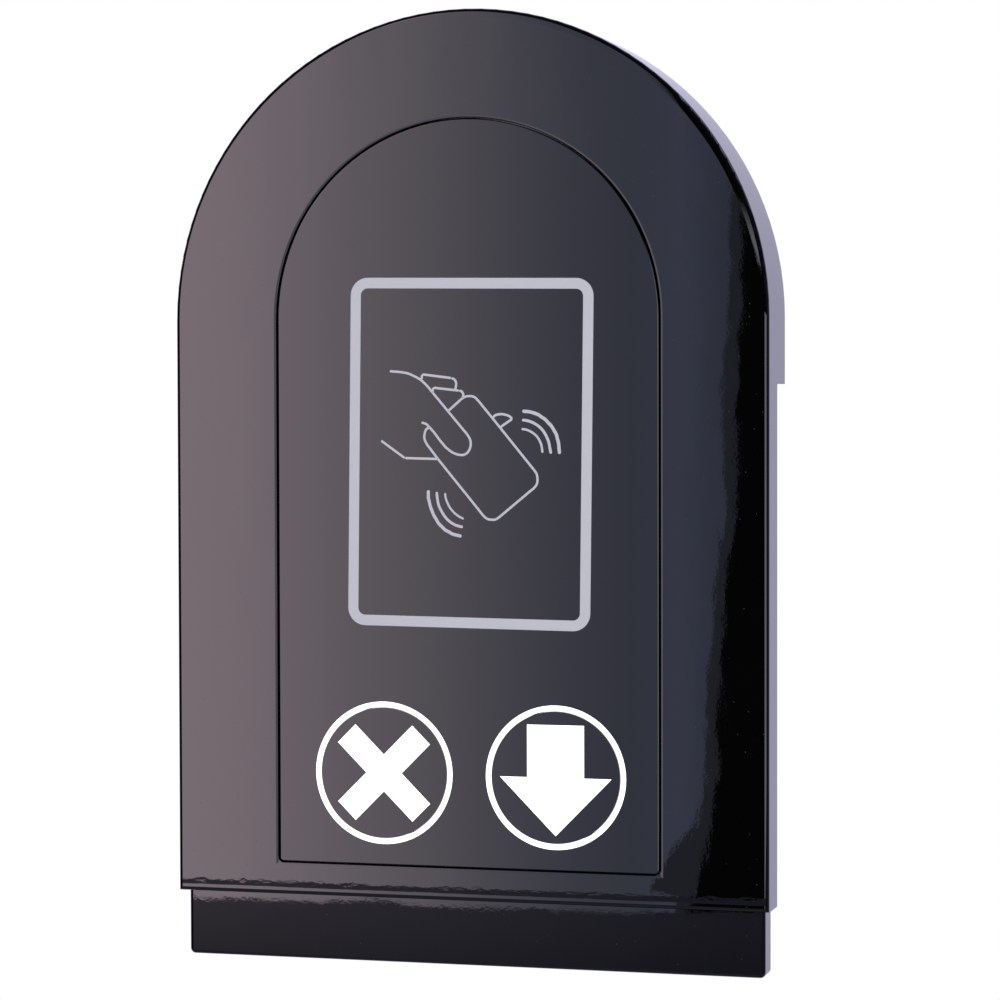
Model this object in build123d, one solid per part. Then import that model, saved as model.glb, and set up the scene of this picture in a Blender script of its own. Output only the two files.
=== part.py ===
from build123d import *
import os
from math import acos, cos, pi, radians, sin, tan

# A wall-mounted contactless ticket machine. An arched cover and an inner carrier make a door, hinged on the
# left of a steel box that holds the printer and the electronics. The door carries a dark window with a card
# reader behind it and two lit keys, cancel and issue. The ticket drops out under the box.
#
# Frame: +X to the right, +Z up, +Y into the wall. The origin is on the wall, at the centre of the four wall
# screws. Depths are counted back from the cover's front face, so depth d lies at y = d - body_depth.
# Drops are counted down from the arch's centre, so drop d lies at z = arch_z - d.

# The cover
cover_width = 225.0
body_depth = 90.0  # cover's front face to the wall
arch_z = 65.0  # arch's centre above the wall screws' centre
cover_drop = 213.9
cover_plate = 3.0
cover_wall = 2.2
cover_edge_r = 1.5
skirt_depth = 16.2
hood_depth = 31.0  # deeper skirt round the arch, which keeps rain off the box
hood_drop = 24.5
hood_corner_r = 0.8

# The window and its print-free edge
window_margin = 39.6  # cover's side to the window's opening
window_drop = 201.9
window_corner_r = 2.2
window_gap = 0.5
window_edge_r = 0.3  # rounding of the opening's and the pane's front edges
window_thick = 4.0
gasket_width = 4.0
gasket_thick = 1.0

# The carrier, whose lower end shows under the cover
nest_gap = 0.1  # carrier to cover
carrier_plate = 2.0
carrier_wall = 2.0
carrier_depth = 15.6
strip_height = 24.6  # carrier below the cover's lower edge
carrier_edge_r = 1.5
carrier_corner_r = 2.0
stud_inset = 24.5  # cover's side to the studs that hold the carrier
stud_r = 1.5
stud_boss_r = 3.0
stud_length = 6.0
nut_r = 3.2
nut_thick = 2.4
stud_drops = [65.0, 130.0, 190.0]  # on the straight sides
stud_angles = [20.0, 55.0, 90.0, 125.0, 160.0]  # round the arch

# The keys
key_pitch = 65.4
key_centre_x = 1.05
key_drop = 167.5
key_travel = 1.0
ring_outer_r = 26.4
ring_inner_r = 24.45
ring_sleeve = 9.0
ring_flange_lap = 2.2  # flange past the ring, all round
key_gap = 0.3  # key cap to ring, and cap's flange to the ring's end
key_face = 2.5
key_wall = 2.2
key_flange_thick = 1.5
diffuser_thick = 1.5
stem_r = 2.0
cross_length = 40.6
cross_bar = 9.6
arrow_shaft = 21.4
arrow_head = 42.0
arrow_rise = 19.2
arrow_fall = 21.3
spring_r = 5.5
spring_wire_r = 0.35
spring_turns = 4.5

# The board under the keys
board_thick = 1.6
key_board_depth = 15.0
key_board_margin = 30.0  # board's edge beyond the keys' centres
post_r = 3.0
post_inset = 4.0
switch_side = 6.0
switch_rise = 1.1
switch_button_r = 1.7
switch_button = 0.7
switch_gap = 0.2  # stem to switch with the key pressed
led_side = 2.0
led_rise = 1.0
ring_led_count = 8
face_led_count = 4
face_led_r = 12.0

# The card reader
reader_x = 1.3
reader_drop = 49.5
reader_width = 84.0
reader_height = 118.0
antenna_lap = 4.0  # antenna board over the carrier, each side
ferrite_thick = 0.8
module_width = 60.0
module_height = 84.0
module_thick = 9.0
module_corner_r = 2.0
module_edge = 0.5

# Small screws
small_screw_r = 1.25
small_head_r = 2.4
small_head = 1.6
small_screw_bite = 1.5  # depth in the carrier's plate
screw_gap = 0.1  # round every screw's shank

# The box
box_inset = 15.0  # cover's side to the box's side
box_rise = 8.9  # box's floor above the cover's lower edge
box_front = 10.0  # depth of the box's rim
box_wall = 2.0
box_corner_r = 4.0
plate_thick = 2.0
plate_inset = 12.5  # wall plate inside the box's outline
seal_lap = 3.0
seal_lip = 1.0
seal_gap = 0.3

# Wall screws, box screws and cable entry
wall_spacing_x = 120.0
wall_spacing_z = 180.0
wall_hole_r = 3.3
wall_head_hole_r = 8.0
box_screw_x = 75.0
box_screw_drops = [5.0, 185.0]
box_screw_r = 2.5
box_screw_head_r = 4.5
box_screw_head = 2.0
grommet_drop = 80.0
grommet_bore_r = 9.0
grommet_neck_r = 12.0
grommet_lip_r = 15.0
grommet_lip = 2.0

# The hinge
knuckle_rise = 0.5  # knuckles clear of the box leaf's outer face
hinge_depth = 27.0
hinge_drop = 30.0  # hinge's upper end
hinge_length = 145.0
hinge_knuckles = 5
hinge_gap = 0.3
knuckle_r = 4.5
pin_r = 2.0
pin_fit = 0.05
pin_head_r = 3.2
pin_head = 2.0
leaf_thick = 2.0
door_leaf_front = 8.0
box_leaf_back = 48.0
leaf_web = 4.0
leaf_clearance = 0.4
hinge_screw_count = 3
door_screw_depth = 12.0
door_screw_r = 1.5
door_screw_head_r = 3.0
box_leaf_screw_depth = 40.0
box_leaf_screw_r = 2.0
box_leaf_screw_head_r = 3.5
leaf_screw_head = 1.6
screw_tip = 2.0  # box leaf's screws past the box's side

# The cam lock under the box
lock_x = 76.0
lock_depth = 21.0
lock_body_r = 8.0
lock_head_r = 9.5
lock_head = 3.5
lock_nut_r = 11.0
lock_nut_thick = 4.0
lock_top_gap = 3.0  # box's floor to the cam's upper face
cam_length = 19.0
cam_width = 8.0
cam_thick = 2.2
cam_gap = 0.3
plug_r = 5.0
plug_head_r = 6.0
plug_head = 2.0
key_slot = [1.2, 6.0, 8.0]
shelf_gap = 12.5  # cam's lower face to the shelf's lower face
shelf_thick = 2.0
shelf_margin = 13.0
shelf_back = 35.0
shelf_flange = 12.0
catch_left = 86.0
catch_right = 96.0
catch_drop = 8.0
catch_thick = 2.0
catch_gap = 1.0

# The ticket printer
paper_width = 57.5
paper_thick = 0.25
paper_depth = 42.0
paper_gap = 0.3
roll_room = 1.575  # full roll to the box's back
roll_rise = 68.0  # roll's axis above the box's floor
core_r = 8.0
spindle_r = 6.0
spindle_fit = 0.08
platen_r = 6.0
platen_rise = 23.0  # platen's axis above the box's floor
platen_shaft_r = 2.5
platen_overhang = 0.75  # rubber past the paper, each side
bush_r = 5.0
bush_flange = 0.5
bush_flange_lap = 1.0  # flange past the bush, all round
shaft_end = 1.0  # platen's shaft past its left bush
printer_half = 36.0  # inside the frame's side plates
printer_front = 31.0
printer_back = 80.0
printer_height = 40.0
sheet = 2.0
head_height = 14.0
head_bracket_height = 20.0
cutter_depth = 10.0
cutter_height = 7.0
cutter_rise = 5.0  # cutter above the box's floor
cutter_slot = 2.0
outlet_half = 31.0
outlet_depth = 6.0
chute_half = 38.0
chute_depth = 18.0
chute_drop = 10.0
chute_corner_r = 3.0
printer_screw_x = 24.0
printer_screw_r = 1.5
printer_screw_head_r = 2.8
printer_screw_head = 1.8
printer_screw_length = 10.0
roll_bracket_gap = 4.0  # paper's edge to the roll's bracket
roll_bracket_height = 20.0
roll_bracket_reach = 8.0

# The printer's gears: the pinion drives the platen's gear
gear_module = 0.8
platen_teeth = 30
pinion_teeth = 18
pressure_angle = 20.0
gear_backlash = 0.3
gear_width = 4.0
gear_gap = 1.2
motor_r = 8.5
motor_length = 24.0
motor_shaft_r = 1.5
motor_bore = 10.0
motor_fit = 0.05
shaft_hole_r = 3.0

# Electronics on the box's back
control_half = 48.0
control_height = 90.0
control_drop = -50.0  # board's upper edge, above the arch's centre
standoff_length = 6.4
standoff_r = 3.0
terminal_width = 60.0
terminal_height = 10.0
terminal_thick = 11.0
terminal_rise = 1.0  # block above the board's lower edge
terminal_pitch = 10.0
terminal_hole_r = 2.0
terminal_chamfer = 2.0
processor_thick = 1.0
memory_width = 12.0
memory_height = 20.0
memory_thick = 2.0
memory_inset = 12.0
sink_side = 30.0
sink_base = 2.5
sink_fin = 8.0
sink_fins = 6
sink_fin_thick = 1.6
supply_width = 42.0
supply_height = 100.0
supply_thick = 30.0
supply_right = -48.0
supply_top_drop = 40.0
supply_slots = 7
supply_slot = 3.0
speaker_x = 70.0
speaker_drop = 65.0
speaker_r = 16.0
speaker_thick = 12.0
speaker_throat_r = 9.0

# Worked out from the sizes above
half = cover_width / 2
opening_half = half - window_margin
carrier_half = half - cover_wall - nest_gap
carrier_front = window_thick + gasket_thick
carrier_back = carrier_front + carrier_plate
box_half = half - box_inset
cover_bottom = arch_z - cover_drop
opening_bottom = arch_z - window_drop
carrier_bottom = cover_bottom - strip_height
box_bottom = cover_bottom + box_rise
box_floor = box_bottom + box_wall
box_back = body_depth - plate_thick
back_wall = box_back - box_wall  # depth of the box's inner back face
key_z = arch_z - key_drop
ring_flange_r = ring_outer_r + ring_flange_lap
key_xs = {"cancel": key_centre_x - key_pitch / 2, "issue": key_centre_x + key_pitch / 2}
cap_r = ring_inner_r - key_gap
cap_flange_front = ring_sleeve + key_gap
cap_back = cap_flange_front + key_flange_thick
diffuser_back = key_face + diffuser_thick
switch_top = key_board_depth - switch_rise
stem_end = switch_top - switch_button - switch_gap - key_travel
reader_z = arch_z - reader_drop
hinge_x = -box_half - leaf_thick - knuckle_rise - knuckle_r
hinge_top = arch_z - hinge_drop
knuckle_pitch = hinge_length / hinge_knuckles
cam_top = box_bottom - lock_top_gap
cam_bottom = cam_top - cam_thick
shelf_bottom = cam_bottom - shelf_gap
lock_end = cam_bottom - cam_gap
lock_face = shelf_bottom - lock_head
roll_front = paper_depth + paper_thick / 2 + paper_gap
roll_r = (back_wall - roll_room - roll_front) / 2
roll_depth = roll_front + roll_r
roll_z = box_floor + roll_rise
platen_depth = roll_front + platen_r
platen_z = box_floor + platen_rise
motor_depth = platen_depth + gear_module * (platen_teeth + pinion_teeth) / 2
gear_left = printer_half + sheet + gear_gap
gear_right = gear_left + gear_width


def slab(face, front, back):
    """Solid of a face drawn in X and Z, between two depths."""
    return extrude(Plane.XZ.offset(body_depth - back) * face, amount=back - front)


def block(left, right, front, back, low, high):
    """Box between two X values, two depths and two heights."""
    centre = ((left + right) / 2, (front + back) / 2 - body_depth, (low + high) / 2)
    return Pos(*centre) * Box(right - left, back - front, high - low)


def peg(r, x, z, front, back):
    """Cylinder along Y."""
    return slab(Pos(x, z) * Circle(r), front, back)


def post(r, x, depth, low, high):
    """Cylinder along Z."""
    return Pos(x, depth - body_depth, (low + high) / 2) * Cylinder(r, high - low)


def bar(r, depth, z, left, right):
    """Cylinder along X."""
    return Pos((left + right) / 2, depth - body_depth, z) * Rot(0, 90, 0) * Cylinder(r, right - left)


def arch(arch_half, bottom, corner=0.0):
    """Face with straight sides, a half-round top about the arch's centre and rounded lower corners."""
    left = (-arch_half, arch_z)
    right = (arch_half, arch_z)
    outline = ThreePointArc(left, (0, arch_z + arch_half), right)
    outline += Polyline(right, (arch_half, bottom), (-arch_half, bottom), left)
    face = make_face(outline)
    if corner:
        face = fillet(face.vertices().group_by(Axis.Y)[0], corner)
    return face


def on_arch(arch_half, angle):
    """Point on the half-round top, its angle counted from +X."""
    return arch_half * cos(radians(angle)), arch_z + arch_half * sin(radians(angle))


def screw(x, z, tip, seat, r, head_r, head):
    """Screw along Y, its shank from depth tip to depth seat and its head past seat."""
    shank = peg(r, x, z, min(tip, seat), max(tip, seat))
    end = seat + head if seat > tip else seat - head
    return shank + peg(head_r, x, z, min(seat, end), max(seat, end))


def save(name, *solids):
    """Write one sub-part, which may be a group of separate solids."""
    shape = solids[0] if len(solids) == 1 else Compound(children=list(solids))
    export_step(shape, f"parts/{name}.step")


def stud_places():
    """Centres of the studs that join the carrier to the cover."""
    ring = half - stud_inset
    sides = [(side * ring, arch_z - drop) for drop in stud_drops for side in (-1, 1)]
    return sides + [on_arch(ring, angle) for angle in stud_angles]


def reader_screw_places():
    """Centres of the four screws at the antenna board's corners."""
    dx = (reader_width + antenna_lap) / 2
    dz = (reader_height + antenna_lap) / 2
    return [(reader_x + sx * dx, reader_z + sz * dz) for sx in (-1, 1) for sz in (-1, 1)]


def key_board_box():
    """Left, right, low and high edges of the board under the keys."""
    left = key_xs["cancel"] - key_board_margin
    right = key_xs["issue"] + key_board_margin
    return left, right, key_z - key_board_margin, key_z + key_board_margin


def key_post_places():
    """Centres of the four posts at the key board's corners."""
    left, right, low, high = key_board_box()
    heights = (low + post_inset, high - post_inset)
    return [(x, z) for x in (left + post_inset, right - post_inset) for z in heights]


def hinge_screw_heights():
    """Heights of the screws along each hinge leaf, at the middles of equal shares of its length."""
    share = hinge_length / hinge_screw_count
    return [hinge_top - (n + 0.5) * share for n in range(hinge_screw_count)]


def front_cover():
    """Formed plate with a skirt all round, deeper round the arch, and studs on its back."""
    outer = slab(arch(half, cover_bottom), 0, hood_depth)
    outer = fillet(outer.faces().sort_by(Axis.Y)[0].edges(), cover_edge_r)
    hollow = slab(arch(half - cover_wall, cover_bottom + cover_wall), cover_plate, hood_depth)
    step = Plane.YZ * Pos(skirt_depth - body_depth, arch_z - hood_drop) * Rectangle(
        hood_depth, cover_drop, align=(Align.MIN, Align.MAX)
    )
    step = fillet(step.vertices().sort_by(Axis.Z)[-2:].sort_by(Axis.Y)[0], hood_corner_r)
    below_hood = extrude(step, amount=half, both=True)
    inside = half - cover_wall
    carrier_way = block(-inside, inside, carrier_front, hood_depth, cover_bottom, cover_bottom + cover_wall)
    opening = slab(arch(opening_half, opening_bottom, window_corner_r), 0, cover_plate)
    cover = outer - hollow - below_hood - carrier_way - opening
    rim = cover.faces().sort_by(Axis.Y)[0].inner_wires()[0]
    cover = fillet(rim.edges(), window_edge_r)
    for x, z in stud_places():
        boss = peg(stud_boss_r, x, z, cover_plate, carrier_front)
        cover += boss + peg(stud_r, x, z, carrier_front, carrier_front + stud_length)
    return cover


def cover_nuts():
    """Hexagon nuts on the cover's studs, behind the carrier."""
    nut = RegularPolygon(nut_r, 6) - Circle(stud_r + screw_gap)
    return [slab(Pos(x, z) * nut, carrier_back, carrier_back + nut_thick) for x, z in stud_places()]


def touch_window():
    """Dark window, flush in the cover, with a round hole for each key's ring."""
    outline = arch(opening_half - window_gap, opening_bottom + window_gap, window_corner_r - window_gap)
    pane = slab(outline, 0, window_thick)
    pane = fillet(pane.faces().sort_by(Axis.Y)[0].edges(), window_edge_r)
    for x in key_xs.values():
        pane -= peg(ring_outer_r, x, key_z, 0, window_thick)
    return pane


def window_gasket():
    """Foam tape between the window's edge and the carrier."""
    edge = opening_half - window_gap
    bottom = opening_bottom + window_gap
    tape = arch(edge, bottom, window_corner_r - window_gap) - arch(edge - gasket_width, bottom + gasket_width)
    return slab(tape, window_thick, carrier_front)


def inner_carrier():
    """Formed plate inside the cover, with side flanges and a closed lower end."""
    outer = slab(arch(carrier_half, carrier_bottom, carrier_corner_r), carrier_front, carrier_depth)
    outer = fillet(outer.faces().sort_by(Axis.Y)[0].edges(), carrier_edge_r)
    inside = carrier_half - carrier_wall
    hollow = slab(arch(inside, carrier_bottom + carrier_wall), carrier_back, carrier_depth)
    reader_way = Pos(reader_x, reader_z) * RectangleRounded(reader_width, reader_height, window_corner_r)
    carrier = outer - hollow - slab(reader_way, carrier_front, carrier_back)
    for x in key_xs.values():
        carrier -= peg(ring_outer_r + key_gap, x, key_z, carrier_front, carrier_back)
    for x, z in stud_places():
        carrier -= peg(stud_r + screw_gap, x, z, carrier_front, carrier_back)
    for x, z in reader_screw_places() + key_post_places():
        carrier -= peg(small_screw_r + screw_gap, x, z, carrier_back - small_screw_bite, carrier_back)
    for z in hinge_screw_heights():
        carrier -= bar(door_screw_r + screw_gap, door_screw_depth, z, -carrier_half, -inside)
    return carrier


def door_seal():
    """Foam strip on the carrier's back, which meets the box's rim."""
    strip = arch(box_half + seal_lip, box_bottom - seal_lip)
    strip -= arch(box_half - seal_lap, box_bottom + seal_lap)
    return slab(strip, carrier_back, box_front - seal_gap)


def ring_light(x):
    """Translucent sleeve round a key, with a flange held between window and carrier."""
    sleeve = Circle(ring_outer_r - screw_gap) - Circle(ring_inner_r)
    flange = Circle(ring_flange_r) - Circle(ring_inner_r)
    ring = slab(Pos(x, key_z) * sleeve, 0, ring_sleeve)
    return ring + slab(Pos(x, key_z) * flange, window_thick, carrier_front)


def cross_face():
    """Cancel sign: two crossed bars."""
    stroke = Rectangle(cross_length, cross_bar)
    return Rot(0, 0, 45) * stroke + Rot(0, 0, -45) * stroke


def arrow_face():
    """Issue sign: an arrow that points down."""
    shaft = arrow_shaft / 2
    head = arrow_head / 2
    return make_face(
        Polyline(
            (-shaft, arrow_rise),
            (shaft, arrow_rise),
            (shaft, 0),
            (head, 0),
            (0, -arrow_fall),
            (-head, 0),
            (-shaft, 0),
            (-shaft, arrow_rise),
        )
    )


def key_cap(x, sign):
    """Dark cup with its sign cut through its face and a flange that stops it behind the ring."""
    centre = Pos(x, key_z)
    cup = peg(cap_r, x, key_z, 0, cap_back)
    cup += peg(ring_outer_r - 2 * key_gap, x, key_z, cap_flange_front, cap_back)
    cup -= peg(cap_r - key_wall, x, key_z, key_face, cap_back)
    return cup - slab(centre * sign, 0, key_face)


def key_symbol(x, sign):
    """White sign, flush in its cap, on a diffuser disc with the stem that works the switch."""
    disc = peg(cap_r - key_wall - screw_gap, x, key_z, key_face, diffuser_back)
    stem = peg(stem_r, x, key_z, diffuser_back, stem_end)
    return slab(Pos(x, key_z) * sign, 0, key_face) + disc + stem


def key_spring(x):
    """Compression spring round the stem, from the diffuser to the board."""
    span = key_board_depth - diffuser_back - 2 * spring_wire_r
    start = (x, diffuser_back + spring_wire_r - body_depth, key_z)
    coil = Helix(span / spring_turns, span, spring_r, center=start, direction=(0, 1, 0))
    section = Plane(origin=coil @ 0, z_dir=coil % 0) * Circle(spring_wire_r)
    return sweep(section, path=coil, is_frenet=True)


def key_board():
    """Circuit board under both keys."""
    left, right, low, high = key_board_box()
    board = block(left, right, key_board_depth, key_board_depth + board_thick, low, high)
    for x, z in key_post_places():
        board -= peg(small_screw_r + screw_gap, x, z, key_board_depth, key_board_depth + board_thick)
    return board


def key_posts():
    """Tubular posts from the carrier to the key board."""
    ring = Circle(post_r) - Circle(small_screw_r + screw_gap)
    return [slab(Pos(x, z) * ring, carrier_back, key_board_depth) for x, z in key_post_places()]


def board_screws():
    """Small screws that hold the key board, on its posts, and the antenna board in the carrier."""
    size = (small_screw_r, small_head_r, small_head)
    tip = carrier_back - small_screw_bite
    screws = []
    for seat, places in (
        (key_board_depth + board_thick, key_post_places()),
        (carrier_back + board_thick, reader_screw_places()),
    ):
        screws += [screw(x, z, tip, seat, *size) for x, z in places]
    return screws


def key_switches():
    """One switch behind each key's stem, its plunger a hair clear of the stem at full travel."""
    switches = []
    for x in key_xs.values():
        side = switch_side / 2
        body = block(x - side, x + side, switch_top, key_board_depth, key_z - side, key_z + side)
        switches.append(body + peg(switch_button_r, x, key_z, switch_top - switch_button, switch_top))
    return switches


def key_leds():
    """Lamps on the key board: a circle of them behind each ring, and a few behind each sign."""
    lamps = []
    ring_r = (ring_outer_r + ring_inner_r) / 2
    for x in key_xs.values():
        for count, circle_r in ((ring_led_count, ring_r), (face_led_count, face_led_r)):
            for n in range(count):
                angle = 2 * pi * (n + 0.5) / count
                centre = Pos(x + circle_r * cos(angle), key_z + circle_r * sin(angle))
                lamp = centre * Rectangle(led_side, led_side)
                lamps.append(slab(lamp, key_board_depth - led_rise, key_board_depth))
    return lamps


def antenna_board():
    """Reader's antenna board, over the carrier's reader opening."""
    width = reader_width + 2 * antenna_lap
    height = reader_height + 2 * antenna_lap
    outline = Pos(reader_x, reader_z) * Rectangle(width, height)
    board = slab(outline, carrier_back, carrier_back + board_thick)
    for x, z in reader_screw_places():
        board -= peg(small_screw_r + screw_gap, x, z, carrier_back, carrier_back + board_thick)
    return board


def ferrite_sheet():
    """Thin magnetic sheet on the back of the antenna board."""
    front = carrier_back + board_thick
    outline = Pos(reader_x, reader_z) * Rectangle(reader_width, reader_height)
    return slab(outline, front, front + ferrite_thick)


def reader_module():
    """Screened radio module on the ferrite sheet."""
    front = carrier_back + board_thick + ferrite_thick
    outline = Pos(reader_x, reader_z) * RectangleRounded(module_width, module_height, module_corner_r)
    can = slab(outline, front, front + module_thick)
    return chamfer(can.faces().sort_by(Axis.Y)[-1].edges(), module_edge)


def knuckles(numbers):
    """Lower and upper ends of the hinge's tubes with these numbers, counted from 0 at its upper end."""
    ends = []
    for n in numbers:
        high = hinge_top - n * knuckle_pitch - hinge_gap / 2
        low = hinge_top - (n + 1) * knuckle_pitch + hinge_gap / 2
        ends.append((low, high))
    return ends


def hinge_pin_hole():
    """Hole through every knuckle for the pin."""
    return post(pin_r + pin_fit, hinge_x, hinge_depth, hinge_top - hinge_length, hinge_top)


def hinge_door_leaf():
    """Leaf on the carrier's left flange, with knuckles 2 and 4."""
    left = carrier_wall - carrier_half
    low_end = hinge_top - hinge_length
    notch = hinge_depth - knuckle_r - leaf_clearance
    leaf = block(left, left + leaf_thick, door_leaf_front, notch, low_end, hinge_top)
    for low, high in knuckles(range(1, hinge_knuckles, 2)):
        leaf += block(left, left + leaf_thick, notch, hinge_depth, low, high)
        leaf += post(knuckle_r, hinge_x, hinge_depth, low, high)
    for z in hinge_screw_heights():
        leaf -= bar(door_screw_r + screw_gap, door_screw_depth, z, left, left + leaf_thick)
    return leaf - hinge_pin_hole()


def hinge_box_leaf():
    """Leaf on the box's left side, with knuckles 1, 3 and 5."""
    right = -box_half
    low_end = hinge_top - hinge_length
    front = hinge_depth - leaf_web / 2
    leaf = block(right - leaf_thick, right, front, box_leaf_back, low_end, hinge_top)
    for low, high in knuckles(range(0, hinge_knuckles, 2)):
        leaf += block(hinge_x, right, front, front + leaf_web, low, high)
        leaf += post(knuckle_r, hinge_x, hinge_depth, low, high)
    for z in hinge_screw_heights():
        leaf -= bar(box_leaf_screw_r + screw_gap, box_leaf_screw_depth, z, right - leaf_thick, right)
    return leaf - hinge_pin_hole()


def hinge_pin():
    """Pin with a head above the top knuckle."""
    low = hinge_top - hinge_length
    return post(pin_r, hinge_x, hinge_depth, low, hinge_top) + post(
        pin_head_r, hinge_x, hinge_depth, hinge_top, hinge_top + pin_head
    )


def hinge_door_screws():
    """Screws through the door leaf and the carrier's flange, as far as the cover."""
    seat = carrier_wall - carrier_half + leaf_thick
    screws = []
    for z in hinge_screw_heights():
        shank = bar(door_screw_r, door_screw_depth, z, -carrier_half, seat)
        screws.append(shank + bar(door_screw_head_r, door_screw_depth, z, seat, seat + leaf_screw_head))
    return screws


def hinge_box_screws():
    """Screws through the box leaf and the box's side."""
    seat = -box_half - leaf_thick
    tip = box_wall + screw_tip - box_half
    screws = []
    for z in hinge_screw_heights():
        shank = bar(box_leaf_screw_r, box_leaf_screw_depth, z, seat, tip)
        head = bar(box_leaf_screw_head_r, box_leaf_screw_depth, z, seat - leaf_screw_head, seat)
        screws.append(shank + head)
    return screws


def lock_bracket():
    """Angle on the carrier's back, with a shelf for the lock."""
    left = lock_x - shelf_margin
    right = lock_x + shelf_margin
    shelf_top = shelf_bottom + shelf_thick
    shelf = block(left, right, carrier_back, shelf_back, shelf_bottom, shelf_top)
    flange_low = shelf_bottom - shelf_flange
    flange = block(left, right, carrier_back, carrier_back + shelf_thick, flange_low, shelf_top)
    return shelf + flange - post(lock_body_r + screw_gap, lock_x, lock_depth, shelf_bottom, shelf_top)


def lock_barrel():
    """Lock's body, up through the shelf, with its head below and a bore for the plug."""
    barrel = post(lock_body_r, lock_x, lock_depth, shelf_bottom, lock_end)
    barrel += post(lock_head_r, lock_x, lock_depth, lock_face, shelf_bottom)
    barrel -= post(plug_r + pin_fit, lock_x, lock_depth, lock_face, lock_end)
    seat = lock_face + plug_head + pin_fit
    return barrel - post(plug_head_r + pin_fit, lock_x, lock_depth, lock_face, seat)


def lock_nut():
    """Hexagon nut that clamps the lock on its shelf."""
    low = shelf_bottom + shelf_thick
    face = RegularPolygon(lock_nut_r, 6) - Circle(lock_body_r + screw_gap)
    return Pos(lock_x, lock_depth - body_depth, low) * extrude(face, amount=lock_nut_thick)


def lock_plug():
    """Turning plug with its keyway."""
    plug = post(plug_r, lock_x, lock_depth, lock_face, cam_bottom)
    plug += post(plug_head_r, lock_x, lock_depth, lock_face, lock_face + plug_head)
    wide, across, deep = key_slot
    keyway = block(
        lock_x - wide / 2,
        lock_x + wide / 2,
        lock_depth - across / 2,
        lock_depth + across / 2,
        lock_face,
        lock_face + deep,
    )
    return plug - keyway


def lock_cam():
    """Arm on the plug's upper end, pointing to the wall when the lock is open."""
    left = lock_x - cam_width / 2
    arm = block(left, left + cam_width, lock_depth, lock_depth + cam_length, cam_bottom, cam_top)
    boss = post(plug_head_r, lock_x, lock_depth, cam_bottom, cam_top)
    return arm + boss - post(small_screw_r, lock_x, lock_depth, cam_bottom, cam_top)


def lock_cam_screw():
    """Screw that holds the cam on the plug."""
    shank = post(small_screw_r, lock_x, lock_depth, cam_bottom, cam_top)
    return shank + post(small_head_r, lock_x, lock_depth, cam_top, cam_top + small_head)


def lock_catch():
    """Angle under the box's floor, with the tab that the locked cam stands behind."""
    back = lock_depth - cam_width / 2 - catch_gap
    front = back - catch_thick
    tab = block(catch_left, catch_right, front, back, box_bottom - catch_drop, box_bottom)
    foot_back = lock_depth + cam_width / 2
    foot_low = box_bottom - catch_thick
    return tab + block(catch_left, catch_right, front, foot_back, foot_low, box_bottom)


def wall_box():
    """Deep arched box, open at the front, with a slot in its floor for tickets."""
    shell = slab(arch(box_half, box_bottom, box_corner_r), box_front, box_back)
    shell -= slab(arch(box_half - box_wall, box_floor, box_corner_r - box_wall), box_front, back_wall)
    for x, z in wall_screw_places():
        shell -= peg(wall_head_hole_r, x, z, back_wall, box_back)
    for x, z in box_screw_places():
        shell -= peg(box_screw_r + screw_gap, x, z, back_wall, box_back)
    shell -= peg(grommet_neck_r + screw_gap, 0, arch_z - grommet_drop, back_wall, box_back)
    for z in hinge_screw_heights():
        shell -= bar(box_leaf_screw_r + screw_gap, box_leaf_screw_depth, z, -box_half, box_wall - box_half)
    for x, depth in printer_screw_places():
        shell -= post(printer_screw_r + screw_gap, x, depth, box_bottom, box_floor)
    return shell - ticket_slot(box_bottom, box_floor)


def wall_screw_places():
    """Centres of the four screws into the wall."""
    return [(sx * wall_spacing_x / 2, sz * wall_spacing_z / 2) for sx in (-1, 1) for sz in (-1, 1)]


def box_screw_places():
    """Centres of the screws that hold the box on its wall plate."""
    return [(side * box_screw_x, arch_z - drop) for drop in box_screw_drops for side in (-1, 1)]


def wall_plate():
    """Flat plate that is screwed to the wall first."""
    plate = slab(arch(box_half - plate_inset, box_bottom + plate_inset), box_back, body_depth)
    for x, z in wall_screw_places():
        plate -= peg(wall_hole_r, x, z, box_back, body_depth)
    for x, z in box_screw_places():
        plate -= peg(box_screw_r + screw_gap, x, z, box_back, body_depth)
    return plate - peg(grommet_neck_r + screw_gap, 0, arch_z - grommet_drop, box_back, body_depth)


def box_screws():
    """Screws through the box's back into the wall plate."""
    size = (box_screw_r, box_screw_head_r, box_screw_head)
    return [screw(x, z, body_depth, back_wall, *size) for x, z in box_screw_places()]


def cable_grommet():
    """Rubber bush for the supply cable, through the box's back and the wall plate."""
    z = arch_z - grommet_drop
    bush = peg(grommet_neck_r, 0, z, back_wall, body_depth)
    bush += peg(grommet_lip_r, 0, z, back_wall - grommet_lip, back_wall)
    return bush - peg(grommet_bore_r, 0, z, back_wall - grommet_lip, body_depth)


def ticket_slot(low, high):
    """Way for the ticket, between two heights."""
    front = paper_depth - outlet_depth / 2
    return block(-outlet_half, outlet_half, front, front + outlet_depth, low, high)


def printer_screw_places():
    """X and depth of the screws that hold the printer and the chute on the box's floor."""
    away = (chute_depth + outlet_depth) / 4
    return [(sx * printer_screw_x, paper_depth + sd * away) for sx in (-1, 1) for sd in (-1, 1)]


def ticket_chute():
    """Moulded mouth under the box's floor, which guides the ticket out."""
    low = box_bottom - chute_drop
    front = paper_depth - chute_depth / 2
    mouth = block(-chute_half, chute_half, front, front + chute_depth, low, box_bottom)
    mouth = fillet(mouth.edges().filter_by(Axis.Z), chute_corner_r)
    tip = box_floor + sheet - printer_screw_length
    for x, depth in printer_screw_places():
        mouth -= post(printer_screw_r + screw_gap, x, depth, tip, box_bottom)
    return mouth - ticket_slot(low, box_bottom)


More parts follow.
